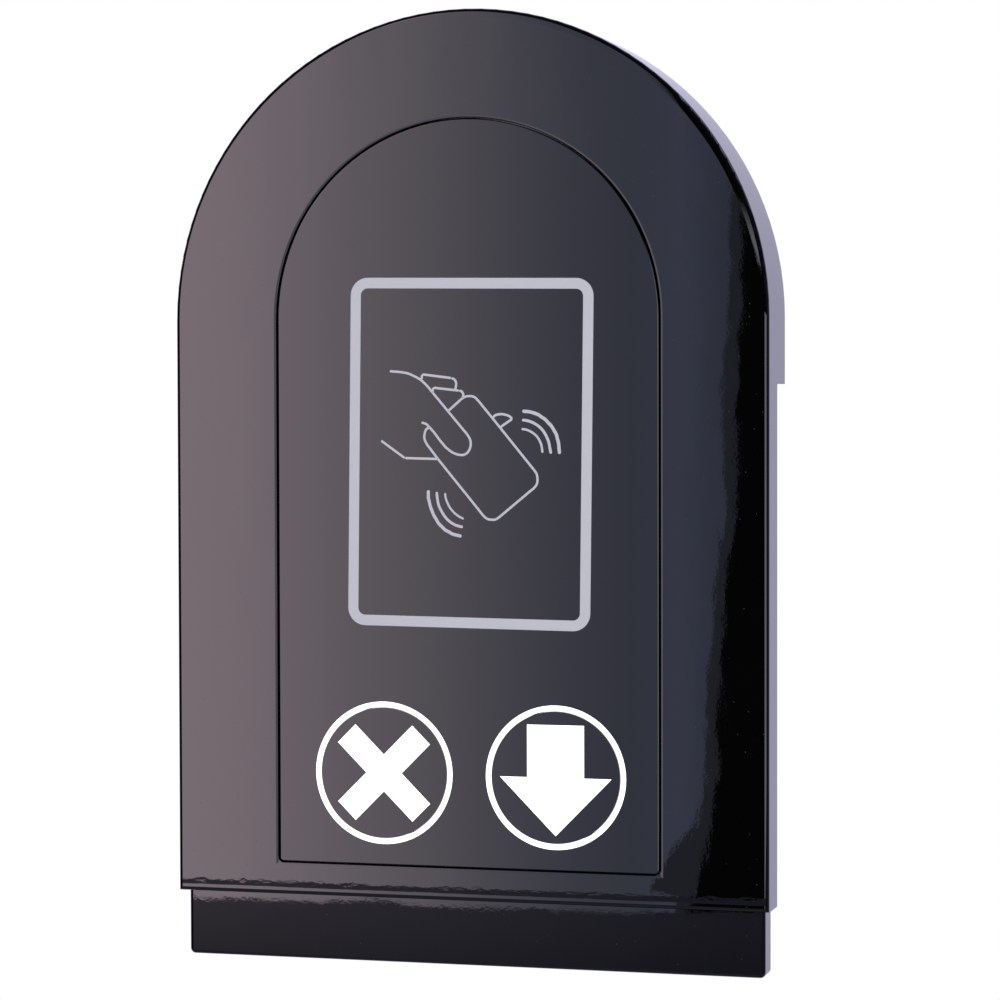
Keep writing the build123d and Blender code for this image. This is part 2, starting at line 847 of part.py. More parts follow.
def printer_frame():
    """Folded frame: a base on the box's floor and two side plates."""
    top = box_floor + printer_height
    wide = printer_half + sheet
    frame = block(-wide, wide, printer_front, printer_back, box_floor, box_floor + sheet)
    for side in (-1, 1):
        left = min(side * printer_half, side * wide)
        plate = block(left, left + sheet, printer_front, printer_back, box_floor, top)
        frame += plate - bar(bush_r, platen_depth, platen_z, left, left + sheet)
    frame -= bar(shaft_hole_r, motor_depth, platen_z, printer_half, wide)
    for x, depth in printer_screw_places():
        frame -= post(printer_screw_r + screw_gap, x, depth, box_floor, box_floor + sheet)
    return frame - ticket_slot(box_floor, box_floor + sheet)


def printer_screws():
    """Screws through the printer's base and the box's floor into the chute."""
    seat = box_floor + sheet
    tip = seat - printer_screw_length
    screws = []
    for x, depth in printer_screw_places():
        shank = post(printer_screw_r, x, depth, tip, seat)
        screws.append(shank + post(printer_screw_head_r, x, depth, seat, seat + printer_screw_head))
    return screws


def print_head():
    """Thermal head, its face on the paper opposite the platen."""
    face = paper_depth - paper_thick / 2
    half_width = paper_width / 2 + platen_overhang
    low = platen_z - head_height / 2
    return block(-half_width, half_width, printer_front + sheet, face, low, low + head_height)


def head_bracket():
    """Plate between the frame's sides that carries the print head."""
    low = platen_z - head_bracket_height / 2
    back = printer_front + sheet
    return block(-printer_half, printer_half, printer_front, back, low, low + head_bracket_height)


def paper_cutter():
    """Slotted cutter between the frame's sides, under the platen."""
    low = box_floor + cutter_rise
    front = paper_depth - cutter_depth / 2
    body = block(-printer_half, printer_half, front, front + cutter_depth, low, low + cutter_height)
    slot_front = paper_depth - cutter_slot / 2
    width = paper_width / 2 + platen_overhang
    return body - block(-width, width, slot_front, slot_front + cutter_slot, low, low + cutter_height)


def platen_bushes():
    """Flanged bushes for the platen's shaft, in the frame's side plates."""
    bushes = []
    for side in (-1, 1):
        inner = side * printer_half
        outer = side * (printer_half + sheet)
        lip = outer + side * bush_flange
        bush = bar(bush_r, platen_depth, platen_z, min(inner, outer), max(inner, outer))
        bush += bar(bush_r + bush_flange_lap, platen_depth, platen_z, min(outer, lip), max(outer, lip))
        bushes.append(bush - bar(platen_shaft_r + pin_fit, platen_depth, platen_z, *sorted((inner, lip))))
    return bushes


def platen_roller():
    """Rubber roller on its steel shaft."""
    half_width = paper_width / 2 + platen_overhang
    shaft_left = -printer_half - sheet - bush_flange - shaft_end
    shaft = bar(platen_shaft_r, platen_depth, platen_z, shaft_left, gear_right)
    return shaft + bar(platen_r, platen_depth, platen_z, -half_width, half_width)


def gear_face(teeth, turn):
    """Spur gear with involute flanks; turn is in degrees.

    A tooth's half angle at radius r is its half angle at the pitch circle plus inv(pressure angle) minus
    inv(angle at r), where inv(a) = tan(a) - a and cos(angle at r) = base radius / r.
    """
    pitch_r = gear_module * teeth / 2
    base_r = pitch_r * cos(radians(pressure_angle))
    tip_r = pitch_r + gear_module
    root_r = pitch_r - 1.25 * gear_module
    pressed = radians(pressure_angle)
    at_pitch = pi / (2 * teeth) - gear_backlash / (4 * pitch_r)
    flank = []
    for step in range(5):
        r = max(base_r, root_r) + (tip_r - max(base_r, root_r)) * step / 4
        angle = acos(min(1, base_r / r))
        flank.append((r, at_pitch + (tan(pressed) - pressed) - (tan(angle) - angle)))
    flank.insert(0, (root_r, flank[0][1]))
    points = []
    for n in range(teeth):
        middle = 2 * pi * n / teeth + radians(turn)
        points += [(r * cos(middle - a), r * sin(middle - a)) for r, a in flank]
        points += [(r * cos(middle + a), r * sin(middle + a)) for r, a in reversed(flank)]
    return make_face(Polyline(*points, points[0]))


def spur_gear(teeth, turn, bore_r, depth):
    """Gear across X beside the printer's frame, its first tooth towards the wall when turn is 0."""
    face = gear_face(teeth, turn) - Circle(bore_r)
    return Pos(gear_left, depth - body_depth, platen_z) * extrude(Plane.YZ * face, amount=gear_width)


def motor_pinion():
    """Pinion on the motor's shaft."""
    gear = spur_gear(pinion_teeth, 180 / pinion_teeth, motor_shaft_r, motor_depth)
    return gear + bar(motor_shaft_r, motor_depth, platen_z, printer_half - motor_bore, gear_right)


def stepper_motor():
    """Round motor inside the frame's right side plate."""
    left = printer_half - motor_length
    body = bar(motor_r, motor_depth, platen_z, left, printer_half)
    bore_r = motor_shaft_r + motor_fit
    return body - bar(bore_r, motor_depth, platen_z, printer_half - motor_bore, printer_half)


def paper_roll():
    """Roll of ticket paper on its core."""
    half_width = paper_width / 2
    roll = bar(roll_r, roll_depth, roll_z, -half_width, half_width)
    return roll - bar(core_r, roll_depth, roll_z, -half_width, half_width)


def roll_core():
    """Cardboard core that turns on the spindle."""
    half_width = paper_width / 2
    core = bar(core_r, roll_depth, roll_z, -half_width, half_width)
    return core - bar(spindle_r + spindle_fit, roll_depth, roll_z, -half_width, half_width)


def roll_spindle():
    """Fixed spindle across both brackets."""
    reach = paper_width / 2 + roll_bracket_gap + sheet
    return bar(spindle_r, roll_depth, roll_z, -reach, reach)


def roll_brackets():
    """Plates on the box's back that hold the spindle's ends."""
    brackets = []
    inner = paper_width / 2 + roll_bracket_gap
    front = roll_depth - roll_bracket_reach
    low = roll_z - roll_bracket_height / 2
    for side in (-1, 1):
        left = min(side * inner, side * (inner + sheet))
        plate = block(left, left + sheet, front, back_wall, low, low + roll_bracket_height)
        brackets.append(plate - bar(spindle_r, roll_depth, roll_z, left, left + sheet))
    return brackets


def paper_web():
    """Paper from the roll down to the print line."""
    front = paper_depth - paper_thick / 2
    low = platen_z - platen_r
    return block(-paper_width / 2, paper_width / 2, front, front + paper_thick, low, roll_z)


def control_board_edges():
    """Front and back depths and lower and upper edges of the controller board."""
    back = back_wall - standoff_length
    high = arch_z - control_drop
    return back - board_thick, back, high - control_height, high


def standoff_places():
    """Centres of the four standoffs at the controller board's corners."""
    low, high = control_board_edges()[2:]
    x = control_half - post_inset
    return [(side * x, z) for side in (-1, 1) for z in (low + post_inset, high - post_inset)]


def control_board():
    """Controller board with its processor in the middle and a memory chip near each side."""
    front, back, low, high = control_board_edges()
    board = block(-control_half, control_half, front, back, low, high)
    middle = (low + high) / 2
    side = sink_side / 2
    board += block(-side, side, front - processor_thick, front, middle - side, middle + side)
    tall = memory_height / 2
    for left in (memory_inset - control_half, control_half - memory_inset - memory_width):
        right = left + memory_width
        board += block(left, right, front - memory_thick, front, middle - tall, middle + tall)
    return board


def board_standoffs():
    """Standoffs between the box's back and the controller board."""
    return [peg(standoff_r, x, z, back_wall - standoff_length, back_wall) for x, z in standoff_places()]


def heat_sink():
    """Finned sink on the processor."""
    front, _, low, high = control_board_edges()
    seat = front - processor_thick
    middle = (low + high) / 2
    side = sink_side / 2
    sink = block(-side, side, seat - sink_base, seat, middle - side, middle + side)
    pitch = (sink_side - sink_fin_thick) / (sink_fins - 1)
    for n in range(sink_fins):
        left = n * pitch - side
        fin_front = seat - sink_base - sink_fin
        sink += block(left, left + sink_fin_thick, fin_front, seat - sink_base, middle - side, middle + side)
    return sink


def terminal_block():
    """Row of terminals at the controller board's lower edge."""
    front, _, board_low, _ = control_board_edges()
    side = terminal_width / 2
    low = board_low + terminal_rise
    mouth = front - terminal_thick
    body = block(-side, side, mouth, front, low, low + terminal_height)
    body = chamfer(body.faces().sort_by(Axis.Y)[0].edges().filter_by(Axis.X), terminal_chamfer)
    ways = int(terminal_width // terminal_pitch)
    for n in range(ways):
        x = (n + 0.5) * terminal_width / ways - side
        body -= peg(terminal_hole_r, x, low + terminal_height / 2, mouth, mouth + terminal_thick / 2)
    return body


def power_supply():
    """Supply in a slotted metal case on the box's back."""
    left = supply_right - supply_width
    top = arch_z - supply_top_drop
    front = back_wall - supply_thick
    case = block(left, supply_right, front, back_wall, top - supply_height, top)
    case = fillet(case.edges().filter_by(Axis.Z).group_by(Axis.Y)[0], box_wall)
    pitch = supply_height / (supply_slots + 1)
    for n in range(supply_slots):
        z = top - (n + 1) * pitch
        middle = (left + supply_right) / 2
        slot = Pos(middle, z) * SlotOverall(supply_width - 4 * supply_slot, supply_slot)
        case -= slab(slot, front, front + supply_slot)
    return case


def speaker():
    """Loudspeaker on the box's back, with its throat open to the front."""
    z = arch_z - speaker_drop
    front = back_wall - speaker_thick
    body = peg(speaker_r, speaker_x, z, front, back_wall)
    return body - peg(speaker_throat_r, speaker_x, z, front, front + speaker_thick / 2)


os.makedirs("parts", exist_ok=True)

# The door
save("front_cover", front_cover())
save("cover_nuts", *cover_nuts())
save("touch_window", touch_window())
save("window_gasket", window_gasket())
save("inner_carrier", inner_carrier())
save("door_seal", door_seal())
save("antenna_board", antenna_board())
save("ferrite_sheet", ferrite_sheet())
save("reader_module", reader_module())
save("key_board", key_board())
save("key_posts", *key_posts())
save("board_screws", *board_screws())
save("key_switches", *key_switches())
save("key_leds", *key_leds())
save("hinge_door_leaf", hinge_door_leaf())
save("hinge_door_screws", *hinge_door_screws())
save("lock_bracket", lock_bracket())
save("lock_barrel", lock_barrel())
save("lock_nut", lock_nut())

# The keys
for name, sign in (("cancel", cross_face()), ("issue", arrow_face())):
    save(f"{name}_ring", ring_light(key_xs[name]))
    save(f"{name}_cap", key_cap(key_xs[name], sign))
    save(f"{name}_symbol", key_symbol(key_xs[name], sign))
    save(f"{name}_spring", key_spring(key_xs[name]))

# The lock's turning pieces
save("lock_plug", lock_plug())
save("lock_cam", lock_cam())
save("lock_cam_screw", lock_cam_screw())

# The box and what is fixed in it
save("wall_box", wall_box())
save("wall_plate", wall_plate())
save("box_screws", *box_screws())
save("hinge_box_leaf", hinge_box_leaf())
save("hinge_box_screws", *hinge_box_screws())
save("hinge_pin", hinge_pin())
save("lock_catch", lock_catch())
save("cable_grommet", cable_grommet())
save("ticket_chute", ticket_chute())
save("printer_frame", printer_frame())
save("printer_screws", *printer_screws())
save("print_head", print_head())
save("head_bracket", head_bracket())
save("paper_cutter", paper_cutter())
save("platen_bushes", *platen_bushes())
save("stepper_motor", stepper_motor())
save("roll_brackets", *roll_brackets())
save("roll_spindle", roll_spindle())
save("paper_web", paper_web())
save("control_board", control_board())
save("board_standoffs", *board_standoffs())
save("heat_sink", heat_sink())
save("terminal_block", terminal_block())
save("power_supply", power_supply())
save("speaker", speaker())

# What turns in the printer
save("platen_roller", platen_roller())
save("platen_gear", spur_gear(platen_teeth, 0, platen_shaft_r, platen_depth))
save("motor_pinion", motor_pinion())
save("paper_roll", paper_roll())
save("roll_core", roll_core())
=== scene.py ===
import bpy
import numpy as np
from math import cos, pi, radians, sin
from mathutils import Matrix, Vector


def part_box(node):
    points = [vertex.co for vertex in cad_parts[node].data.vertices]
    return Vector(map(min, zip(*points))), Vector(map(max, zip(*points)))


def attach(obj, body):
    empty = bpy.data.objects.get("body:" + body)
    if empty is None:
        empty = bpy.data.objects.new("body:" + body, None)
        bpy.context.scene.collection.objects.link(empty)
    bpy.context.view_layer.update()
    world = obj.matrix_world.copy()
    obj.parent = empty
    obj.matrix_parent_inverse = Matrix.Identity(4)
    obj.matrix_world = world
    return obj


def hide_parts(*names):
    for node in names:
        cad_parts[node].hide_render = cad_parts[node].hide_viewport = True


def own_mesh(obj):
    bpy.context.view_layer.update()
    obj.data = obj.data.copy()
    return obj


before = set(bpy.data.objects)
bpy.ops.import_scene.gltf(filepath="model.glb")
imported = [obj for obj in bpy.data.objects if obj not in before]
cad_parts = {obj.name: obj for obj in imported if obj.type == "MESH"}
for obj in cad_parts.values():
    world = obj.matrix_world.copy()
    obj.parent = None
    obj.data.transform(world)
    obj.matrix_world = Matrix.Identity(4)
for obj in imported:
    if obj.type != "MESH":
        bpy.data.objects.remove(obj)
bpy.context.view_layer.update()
scene = bpy.context.scene
mm = 0.001
micron = 0.001 * mm
print("frame loaded:", len(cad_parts), "nodes")

# Places on the machine, read from the frame
coverLow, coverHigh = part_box("front_cover")
paneLow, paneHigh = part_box("touch_window")
archHalf = (coverHigh.x - coverLow.x) / 2
archZ = coverHigh.z - archHalf  # height of the arch's centre
faceY = paneLow.y  # front of the window
paneHalf = (paneHigh.x - paneLow.x) / 2
openingGap = 0.5 * mm  # window to cover
frontFace = faceY + 0.1 * mm, faceY + 0.3 * mm  # between these the flat front ends


# A closed outline in the plane: a rectangle of width by height whose corners turn through quarter circles of
# the given radius. Each corner gets `steps` + 1 points, anticlockwise from the right side.
def roundedLoop(width, height, radius, steps):
    turn = np.linspace(0, pi / 2, steps + 1)
    points = []
    for quarter, (sx, sz) in enumerate([(1, 1), (-1, 1), (-1, -1), (1, -1)]):
        angle = turn + quarter * pi / 2
        x = sx * (width / 2 - radius) + radius * np.cos(angle)
        z = sz * (height / 2 - radius) + radius * np.sin(angle)
        points.append(np.stack([x, z], 1))
    return np.concatenate(points)


# Each row of an array divided by its length
def unit(rows):
    return rows / np.linalg.norm(rows, axis=-1, keepdims=True)


# The direction a quarter turn to the right of each direction in the plane
def rightOf(ahead):
    return np.stack([ahead[:, 1], -ahead[:, 0]], 1)


# How far along a line each of its points lies: the sum of the lengths of its steps
def lengthAlong(points):
    return np.concatenate([[0], np.cumsum(np.linalg.norm(np.diff(points, axis=0), axis=1))])


# How a printed line is divided, in mm, and how narrow it gets at its ends
lineLook = {"longestRun": 2.2, "cubicSteps": 24, "spacing": 0.25, "fewest": 4, "endShare": 0.02}


# A smooth line through a few points: long straight runs are divided evenly, the Catmull-Rom cubic joins each
# pair, and the curve is taken again at equal steps of its own length.
def smoothLine(points, look):
    p = np.asarray(points, float)
    lengths = np.linalg.norm(np.diff(p, axis=0), axis=1)
    parts = np.maximum(1, np.round(lengths / look["longestRun"])).astype(int)
    runs = [np.linspace(a, b, n, endpoint=False) for a, b, n in zip(p, p[1:], parts)]
    p = np.concatenate([*runs, p[-1:]])
    p = np.concatenate([2 * p[:1] - p[1:2], p, 2 * p[-1:] - p[-2:-1]])
    t = np.linspace(0, 1, look["cubicSteps"], endpoint=False)[:, None]
    a, b, c, d = p[:-3, None], p[1:-2, None], p[2:-1, None], p[3:, None]
    squared = (2 * a - 5 * b + 4 * c - d) * t ** 2
    cubed = (3 * b - a - 3 * c + d) * t ** 3
    curve = 0.5 * (2 * b + (c - a) * t + squared + cubed)
    curve = np.concatenate([curve.reshape(-1, p.shape[1]), p[-2:-1]])
    run = lengthAlong(curve)
    at = np.linspace(0, run[-1], max(look["fewest"], int(run[-1] / look["spacing"]) + 1))
    return np.stack([np.interp(at, run, curve[:, k]) for k in range(p.shape[1])], 1)


# A grid of points (rows, columns, 3) as vertices and faces. Columns always close on themselves. Rows close too
# when looped, and otherwise each end is shut with one point at the middle of its row.
def gridShape(grid, looped=False):
    rows, columns = grid.shape[:2]
    at = np.arange(rows * columns).reshape(rows, columns)
    low, high = (at, np.roll(at, -1, 0)) if looped else (at[:-1], at[1:])
    quads = np.stack([low, np.roll(low, -1, 1), np.roll(high, -1, 1), high], -1).reshape(-1, 4)
    verts = grid.reshape(-1, 3)
    faces = quads.tolist()
    if not looped:
        ends = np.stack([grid[0].mean(0), grid[-1].mean(0)])
        first, last = len(verts), len(verts) + 1
        faces += np.stack([np.full(columns, first), np.roll(at[0], -1), at[0]], 1).tolist()
        faces += np.stack([np.full(columns, last), at[-1], np.roll(at[-1], -1)], 1).tolist()
        verts = np.concatenate([verts, ends])
    return verts, faces


# An outline that lies across Y, carried straight along Y from a base point: layers are (inset, distance) pairs,
# so the outline shrinks by the inset at that distance. sign is the way that it grows along Y.
def stackShape(loop, layers, base, sign):
    middle = loop.mean(0)
    reach = np.abs(loop - middle).max(0)
    insets, distances = np.array(layers, float).T
    flat = middle + (loop - middle) * (1 - insets[:, None, None] / reach)
    level = np.broadcast_to(sign * distances[:, None], flat.shape[:2])
    grid = np.stack([flat[..., 0], level, flat[..., 1]], -1) + np.asarray(base)
    return gridShape(grid if sign < 0 else grid[::-1])


# A printed line on a face that looks along -Y: a low dome of the given width and height carried along the line,
# whose width falls to nothing through a half circle at each open end.
def printedLine(points, width, height):
    line = smoothLine(points, lineLook)
    side = rightOf(unit(np.gradient(line, axis=0)))
    run = lengthAlong(line)
    end = np.clip(np.minimum(run, run[-1] - run) / (width / 2), lineLook["endShare"], 1)
    share = np.sqrt(np.clip(1 - (1 - end) ** 2, 0, 1))
    across = np.array([-1, -0.9, -0.5, 0.5, 0.9, 1]) * width / 2
    rise = np.array([0, 0.75, 1, 1, 0.75, 0]) * height
    flat = line[:, None] + side[:, None] * (across[None, :, None] * share[:, None, None])
    level = np.broadcast_to(-rise, flat.shape[:2])
    return gridShape(np.stack([flat[..., 0], level, flat[..., 1]], -1))


# One object from several shapes, whose points are in mm, with smooth or flat faces, riding on a body and with
# its finish.
def addPiece(name, shapes, body, finish, smooth=False):
    verts, faces, start = [], [], 0
    for shapeVerts, shapeFaces in shapes:
        verts.append(shapeVerts)
        faces += [[i + start for i in face] for face in shapeFaces]
        start += len(shapeVerts)
    mesh = bpy.data.meshes.new(name)
    mesh.from_pydata((np.concatenate(verts) * mm).tolist(), [], faces)
    mesh.polygons.foreach_set("use_smooth", np.full(len(mesh.polygons), smooth))
    mesh.validate()
    mesh.materials.append(finish)
    piece = bpy.data.objects.new(name, mesh)
    scene.collection.objects.link(piece)
    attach(piece, body)
    return piece


# A socket's value in a sum: each operator adds a Math node.
class Wire:
    def __init__(self, recipe, socket):
        self.recipe = recipe
        self.socket = socket

    def __add__(self, other):
        return self.recipe.sum("ADD", self, other)

    def __radd__(self, other):
        return self.recipe.sum("ADD", other, self)

    def __sub__(self, other):
        return self.recipe.sum("SUBTRACT", self, other)

    def __rsub__(self, other):
        return self.recipe.sum("SUBTRACT", other, self)

    def __mul__(self, other):
        return self.recipe.sum("MULTIPLY", self, other)

    def __rmul__(self, other):
        return self.recipe.sum("MULTIPLY", other, self)

    def __truediv__(self, other):
        return self.recipe.sum("DIVIDE", self, other)

    def __pow__(self, other):
        return self.recipe.sum("POWER", self, other)


edgeTurn = 0.02, 0.2  # how far the rounded normal leaves the true one where an edge starts and is full


class Recipe:
    def __init__(self, name):
        self.material = bpy.data.materials.new(name)
        self.material.use_nodes = True
        self.tree = self.material.node_tree
        self.tree.nodes.clear()
        self.place = self.node("ShaderNodeTexCoord", result="Object")
        parts = self.tree.nodes.new("ShaderNodeSeparateXYZ")
        self.tree.links.new(self.place.socket, parts.inputs[0])
        self.x, self.y, self.z = [Wire(self, out) for out in parts.outputs]

    # Any node: its type, its settings, the values or links of its sockets, and which output is used
    def node(self, kind, settings=None, sockets=None, result=0):
        made = self.tree.nodes.new(kind)
        for key, value in (settings or {}).items():
            if key == "stops":
                ramp = made.color_ramp
                while len(ramp.elements) < len(value):
                    ramp.elements.new(0.5)
                for element, (position, colour) in zip(ramp.elements, value):
                    element.position = position
                    element.color = (*colour, 1)
            else:
                setattr(made, key, value)
        for key, value in (sockets or {}).items():
            if isinstance(value, Wire):
                self.tree.links.new(value.socket, made.inputs[key])
            else:
                made.inputs[key].default_value = value
        return Wire(self, made.outputs[result])

    def sum(self, operation, first, second):
        return self.node("ShaderNodeMath", {"operation": operation}, {0: first, 1: second})

    def stretched(self, x=1, y=1, z=1):
        return self.node("ShaderNodeMapping", None, {"Vector": self.place, "Scale": (x, y, z)})

    def noise(self, size, detail=2, rough=0.5, place=None):
        return self.node("ShaderNodeTexNoise", None, {
            "Vector": place or self.place, "Scale": 1 / size, "Detail": detail, "Roughness": rough})

    def cells(self, size, feature="F1", result="Distance"):
        return self.node("ShaderNodeTexVoronoi", {"feature": feature}, {
            "Vector": self.place, "Scale": 1 / size}, result)

    # `start` below low, `end` above high, and an S between
    def step(self, value, low, high, start=0, end=1):
        return self.node("ShaderNodeMapRange", {"interpolation_type": "SMOOTHSTEP"}, {
            "Value": value, "From Min": low, "From Max": high, "To Min": start, "To Max": end})

    def blend(self, share, first, second):
        both = {6: first, 7: second}
        colours = {key: value if isinstance(value, Wire) else (*value, 1) for key, value in both.items()}
        return self.node("ShaderNodeMix", {"data_type": "RGBA"}, {0: share, **colours}, 2)

    # 1 on edges and corners within the given radius, and 0 on open faces
    def edges(self, radius):
        rounded = self.node("ShaderNodeBevel", {"samples": 6}, {"Radius": radius})
        true = self.node("ShaderNodeNewGeometry", result="True Normal")
        same = self.node("ShaderNodeVectorMath", {"operation": "DOT_PRODUCT"}, {0: rounded, 1: true}, "Value")
        return self.step(1 - same, *edgeTurn)

    def bump(self, height, depth):
        return self.node("ShaderNodeBump", None, {"Height": height, "Distance": depth})

    def finish(self, colour, rough, normal=None, **sockets):
        base = colour if isinstance(colour, Wire) else (*colour, 1)
        links = {"Base Color": base, "Roughness": rough, **sockets}
        if normal:
            links["Normal"] = normal
        return self.end(self.node("ShaderNodeBsdfPrincipled", None, links))

    def end(self, shader):
        out = self.tree.nodes.new("ShaderNodeOutputMaterial")
        self.tree.links.new(shader.socket, out.inputs["Surface"])
        return self.material


# A colour made darker or lighter by a share, and raised a little
def shaded(colour, share, lift=0):
    return tuple(min(1, share * c + lift) for c in colour)


# How far a point of the face stands outside an arch of the given half width and bottom; less than 0 is inside.
def outsideArch(r, half, bottom):
    above = r.sum("MAXIMUM", r.z - archZ, 0)
    side = (r.x * r.x + above * above) ** 0.5 - half
    return r.sum("MAXIMUM", side, bottom - r.z)


# A rolled edge: the surface falls away towards it as a power of what is left of its width.
def rolledEdge(r, away, roll):
    left = r.sum("MAXIMUM", 1 - r.sum("MAXIMUM", away, 0) / roll["width"], 0)
    return left ** roll["power"] * roll["depth"]


# Gloss paint: nearly black, with the slow waves and the roll of sprayed lacquer, finer grit, and a few specks
# of dust. Heights are in thousandths of a millimetre.
def glossPaint(name, look, dip=None, roll=None, shoulder=None):
    r = Recipe(name)
    height = r.noise(look["rollSize"], 1, 0.45, r.stretched(z=look["rollStretch"])) * look["rollDepth"]
    height = height + r.noise(look["waveSize"], 0, 0.5, r.stretched(z=look["waveStretch"])) * look["waveDepth"]
    height = height + r.noise(look["fineSize"], 2, 0.6) * look["fineDepth"]
    if dip:
        ragged = r.noise(dip["raggedSize"], 3, 0.6, r.stretched(x=dip["raggedStretch"]))
        ragged = (ragged - 0.5) * dip["raggedBy"] * r.step(r.z, dip["from"], dip["to"])
        height = height - r.step(r.z + ragged, dip["from"], dip["to"], dip["depth"], 0)
    if roll:
        front = r.step(r.y, *frontFace, 1, 0)
        away = outsideArch(r, paneHalf + openingGap, paneLow.z - openingGap)
        height = height - rolledEdge(r, away, roll) * front
        fade = r.step(r.z, archZ, archZ + shoulder["fadeUp"]) * r.step(r.x, shoulder["left"], shoulder["right"])
        within = 0 - outsideArch(r, archHalf, coverLow.z)
        height = height - rolledEdge(r, within, shoulder) * fade * front
    dust = r.step(r.cells(look["dustSize"]), *look["dustEdge"], 1, 0)
    colour = r.blend(r.noise(look["patchSize"]), look["colour"], look["colourToo"])
    colour = r.blend(dust * look["dustShare"], colour, look["dust"])
    rough = look["rough"] + r.noise(look["smearSize"]) * look["smearRough"] + dust * look["dustRough"]
    return r.finish(colour, rough, r.bump(height, micron))


# Glass over black print: smooth, with faint wiping smears, and a ground edge where roll is given.
def darkGlass(name, look, roll=None):
    r = Recipe(name)
    smear = r.step(r.noise(look["smearSize"], 3, 0.6, r.stretched(*look["smearStretch"])), *look["smearEdge"])
    height = r.noise(look["waveSize"], 1) * look["waveDepth"]
    if roll:
        away = 0 - outsideArch(r, paneHalf, paneLow.z - 2 * roll["width"])  # no ground edge along the bottom
        height = height - rolledEdge(r, away, roll)
    tone = r.blend(smear, look["colour"], look["smear"])
    return r.finish(tone, look["rough"] + smear * look["smearRough"], r.bump(height, micron), IOR=look["ior"])


# In the foam, "pore" is the share of the colour that the painted shade in each pore's hollow keeps
foamLook = {
    "poreEdge": (0.1, 0.6), "pore": 0.5, "poreRough": 0.08,
    "patchSize": 20 * mm, "patchShare": 0.5, "patch": 1.5}


# Rubber, foam and felt: matt, with pores of the given size, and painted shade darkening the middle of each
# pore.
def poreMaterial(name, colour, pore, rough=0.9, depth=0.2 * mm):
    look = foamLook
    r = Recipe(name)
    pores = r.cells(pore)
    # painted shade: each pore's middle is darkened towards the share "pore" of the colour, as if shaded in its
    # hollow
    shade = r.blend(r.step(pores, *look["poreEdge"]), shaded(colour, look["pore"]), colour)
    shade = r.blend(r.noise(look["patchSize"]) * look["patchShare"], shade, shaded(colour, look["patch"]))
    return r.finish(shade, rough - pores * look["poreRough"], r.bump(pores, depth))


plasticLook = {
    "patchSize": 15 * mm, "patch": 0.85, "edge": 0.4 * mm, "edgeShare": 0.6, "edgeLift": 0.01,
    "grainRough": 0.12}


# Moulded plastic: a fine spark-eroded grain, lighter where edges are handled.
def mouldedPlastic(name, colour, rough=0.45, grain=0.4 * mm, depth=20 * micron, worn=1.6):
    look = plasticLook
    r = Recipe(name)
    sparks = r.noise(grain, 2, 0.6)
    tone = r.blend(r.noise(look["patchSize"]), colour, shaded(colour, look["patch"]))
    handled = r.edges(look["edge"]) * look["edgeShare"]
    tone = r.blend(handled, tone, shaded(colour, worn, look["edgeLift"]))
    return r.finish(tone, rough + (sparks - 0.5) * look["grainRough"], r.bump(sparks, depth))


sheetLook = {
    "streakSize": 0.6 * mm, "streak": 0.82, "streakRough": 0.18, "streakDepth": 6 * micron,
    "patchSize": 12 * mm, "patchEdge": (0.42, 0.7), "patchShare": 0.45, "patch": 0.75, "patchRough": 0.08,
    "edge": 0.3 * mm, "edgeShare": 0.7, "edgeBright": 1.25}


# Bare or plated sheet metal: streaks along its brushing, worn bright edges, and a patchy tint.
def sheetMetal(name, colour, along=(1, 1, 12), rough=0.34, tint=None):
    look = sheetLook
    r = Recipe(name)
    streaks = r.noise(look["streakSize"], 3, 0.6, r.stretched(*[1 / a for a in along]))
    patches = r.noise(look["patchSize"], 3, 0.55)
    tone = r.blend(streaks, shaded(colour, look["streak"]), colour)
    tinted = r.step(patches, *look["patchEdge"]) * look["patchShare"]
    tone = r.blend(tinted, tone, tint or shaded(colour, look["patch"]))
    tone = r.blend(r.edges(look["edge"]) * look["edgeShare"], tone, shaded(colour, look["edgeBright"]))
    rough = rough + (streaks - 0.5) * look["streakRough"] + patches * look["patchRough"]
    return r.finish(tone, rough, r.bump(streaks, look["streakDepth"]), Metallic=1.0)


zincLook = {"size": 6 * mm, "dark": 0.7, "rough": 0.3, "roughBy": 0.2, "depth": 10 * micron}


# Hot-dip zinc: large angular spangles of different brightness.
def spangledZinc(name, colour):
    look = zincLook
    r = Recipe(name)
    grey = r.node("ShaderNodeSeparateColor", None, {"Color": r.cells(look["size"], result="Color")})
    tone = r.blend(grey, shaded(colour, look["dark"]), colour)
    return r.finish(tone, look["rough"] + grey * look["roughBy"], r.bump(grey, look["depth"]), Metallic=1.0)


turnedLook = {
    "markSize": 4 * mm, "markStretch": 30, "mark": 0.85, "markRough": 0.12, "markDepth": 4 * micron,
    "grimeSize": 3 * mm, "grimeEdge": (0.55, 0.75), "grimeShare": 0.3, "grime": 0.6}


# Turned or polished metal: fine rings of tool marks about the part's axis, with patches of grime.
def turnedMetal(name, colour, rough=0.2, axis="y"):
    look = turnedLook
    r = Recipe(name)
    marks = r.noise(look["markSize"], 2, 0.5, r.stretched(**{axis: look["markStretch"]}))
    tone = r.blend(marks, shaded(colour, look["mark"]), colour)
    grime = r.step(r.noise(look["grimeSize"], 3), *look["grimeEdge"]) * look["grimeShare"]
    tone = r.blend(grime, tone, shaded(colour, look["grime"]))
    rough = rough + (marks - 0.5) * look["markRough"]
    return r.finish(tone, rough, r.bump(marks, look["markDepth"]), Metallic=1.0)


powderLook = {
    "dimpleSize": 1.1 * mm, "fineSize": 0.5 * mm, "fineShare": 0.4, "depth": 50 * micron,
    "patchSize": 40 * mm, "patch": 1.35, "edge": 0.5 * mm, "wearSize": 4 * mm, "wearEdge": (0.45, 0.62),
    "rough": 0.42, "roughSize": 10 * mm, "roughBy": 0.12, "wearRough": 0.1}


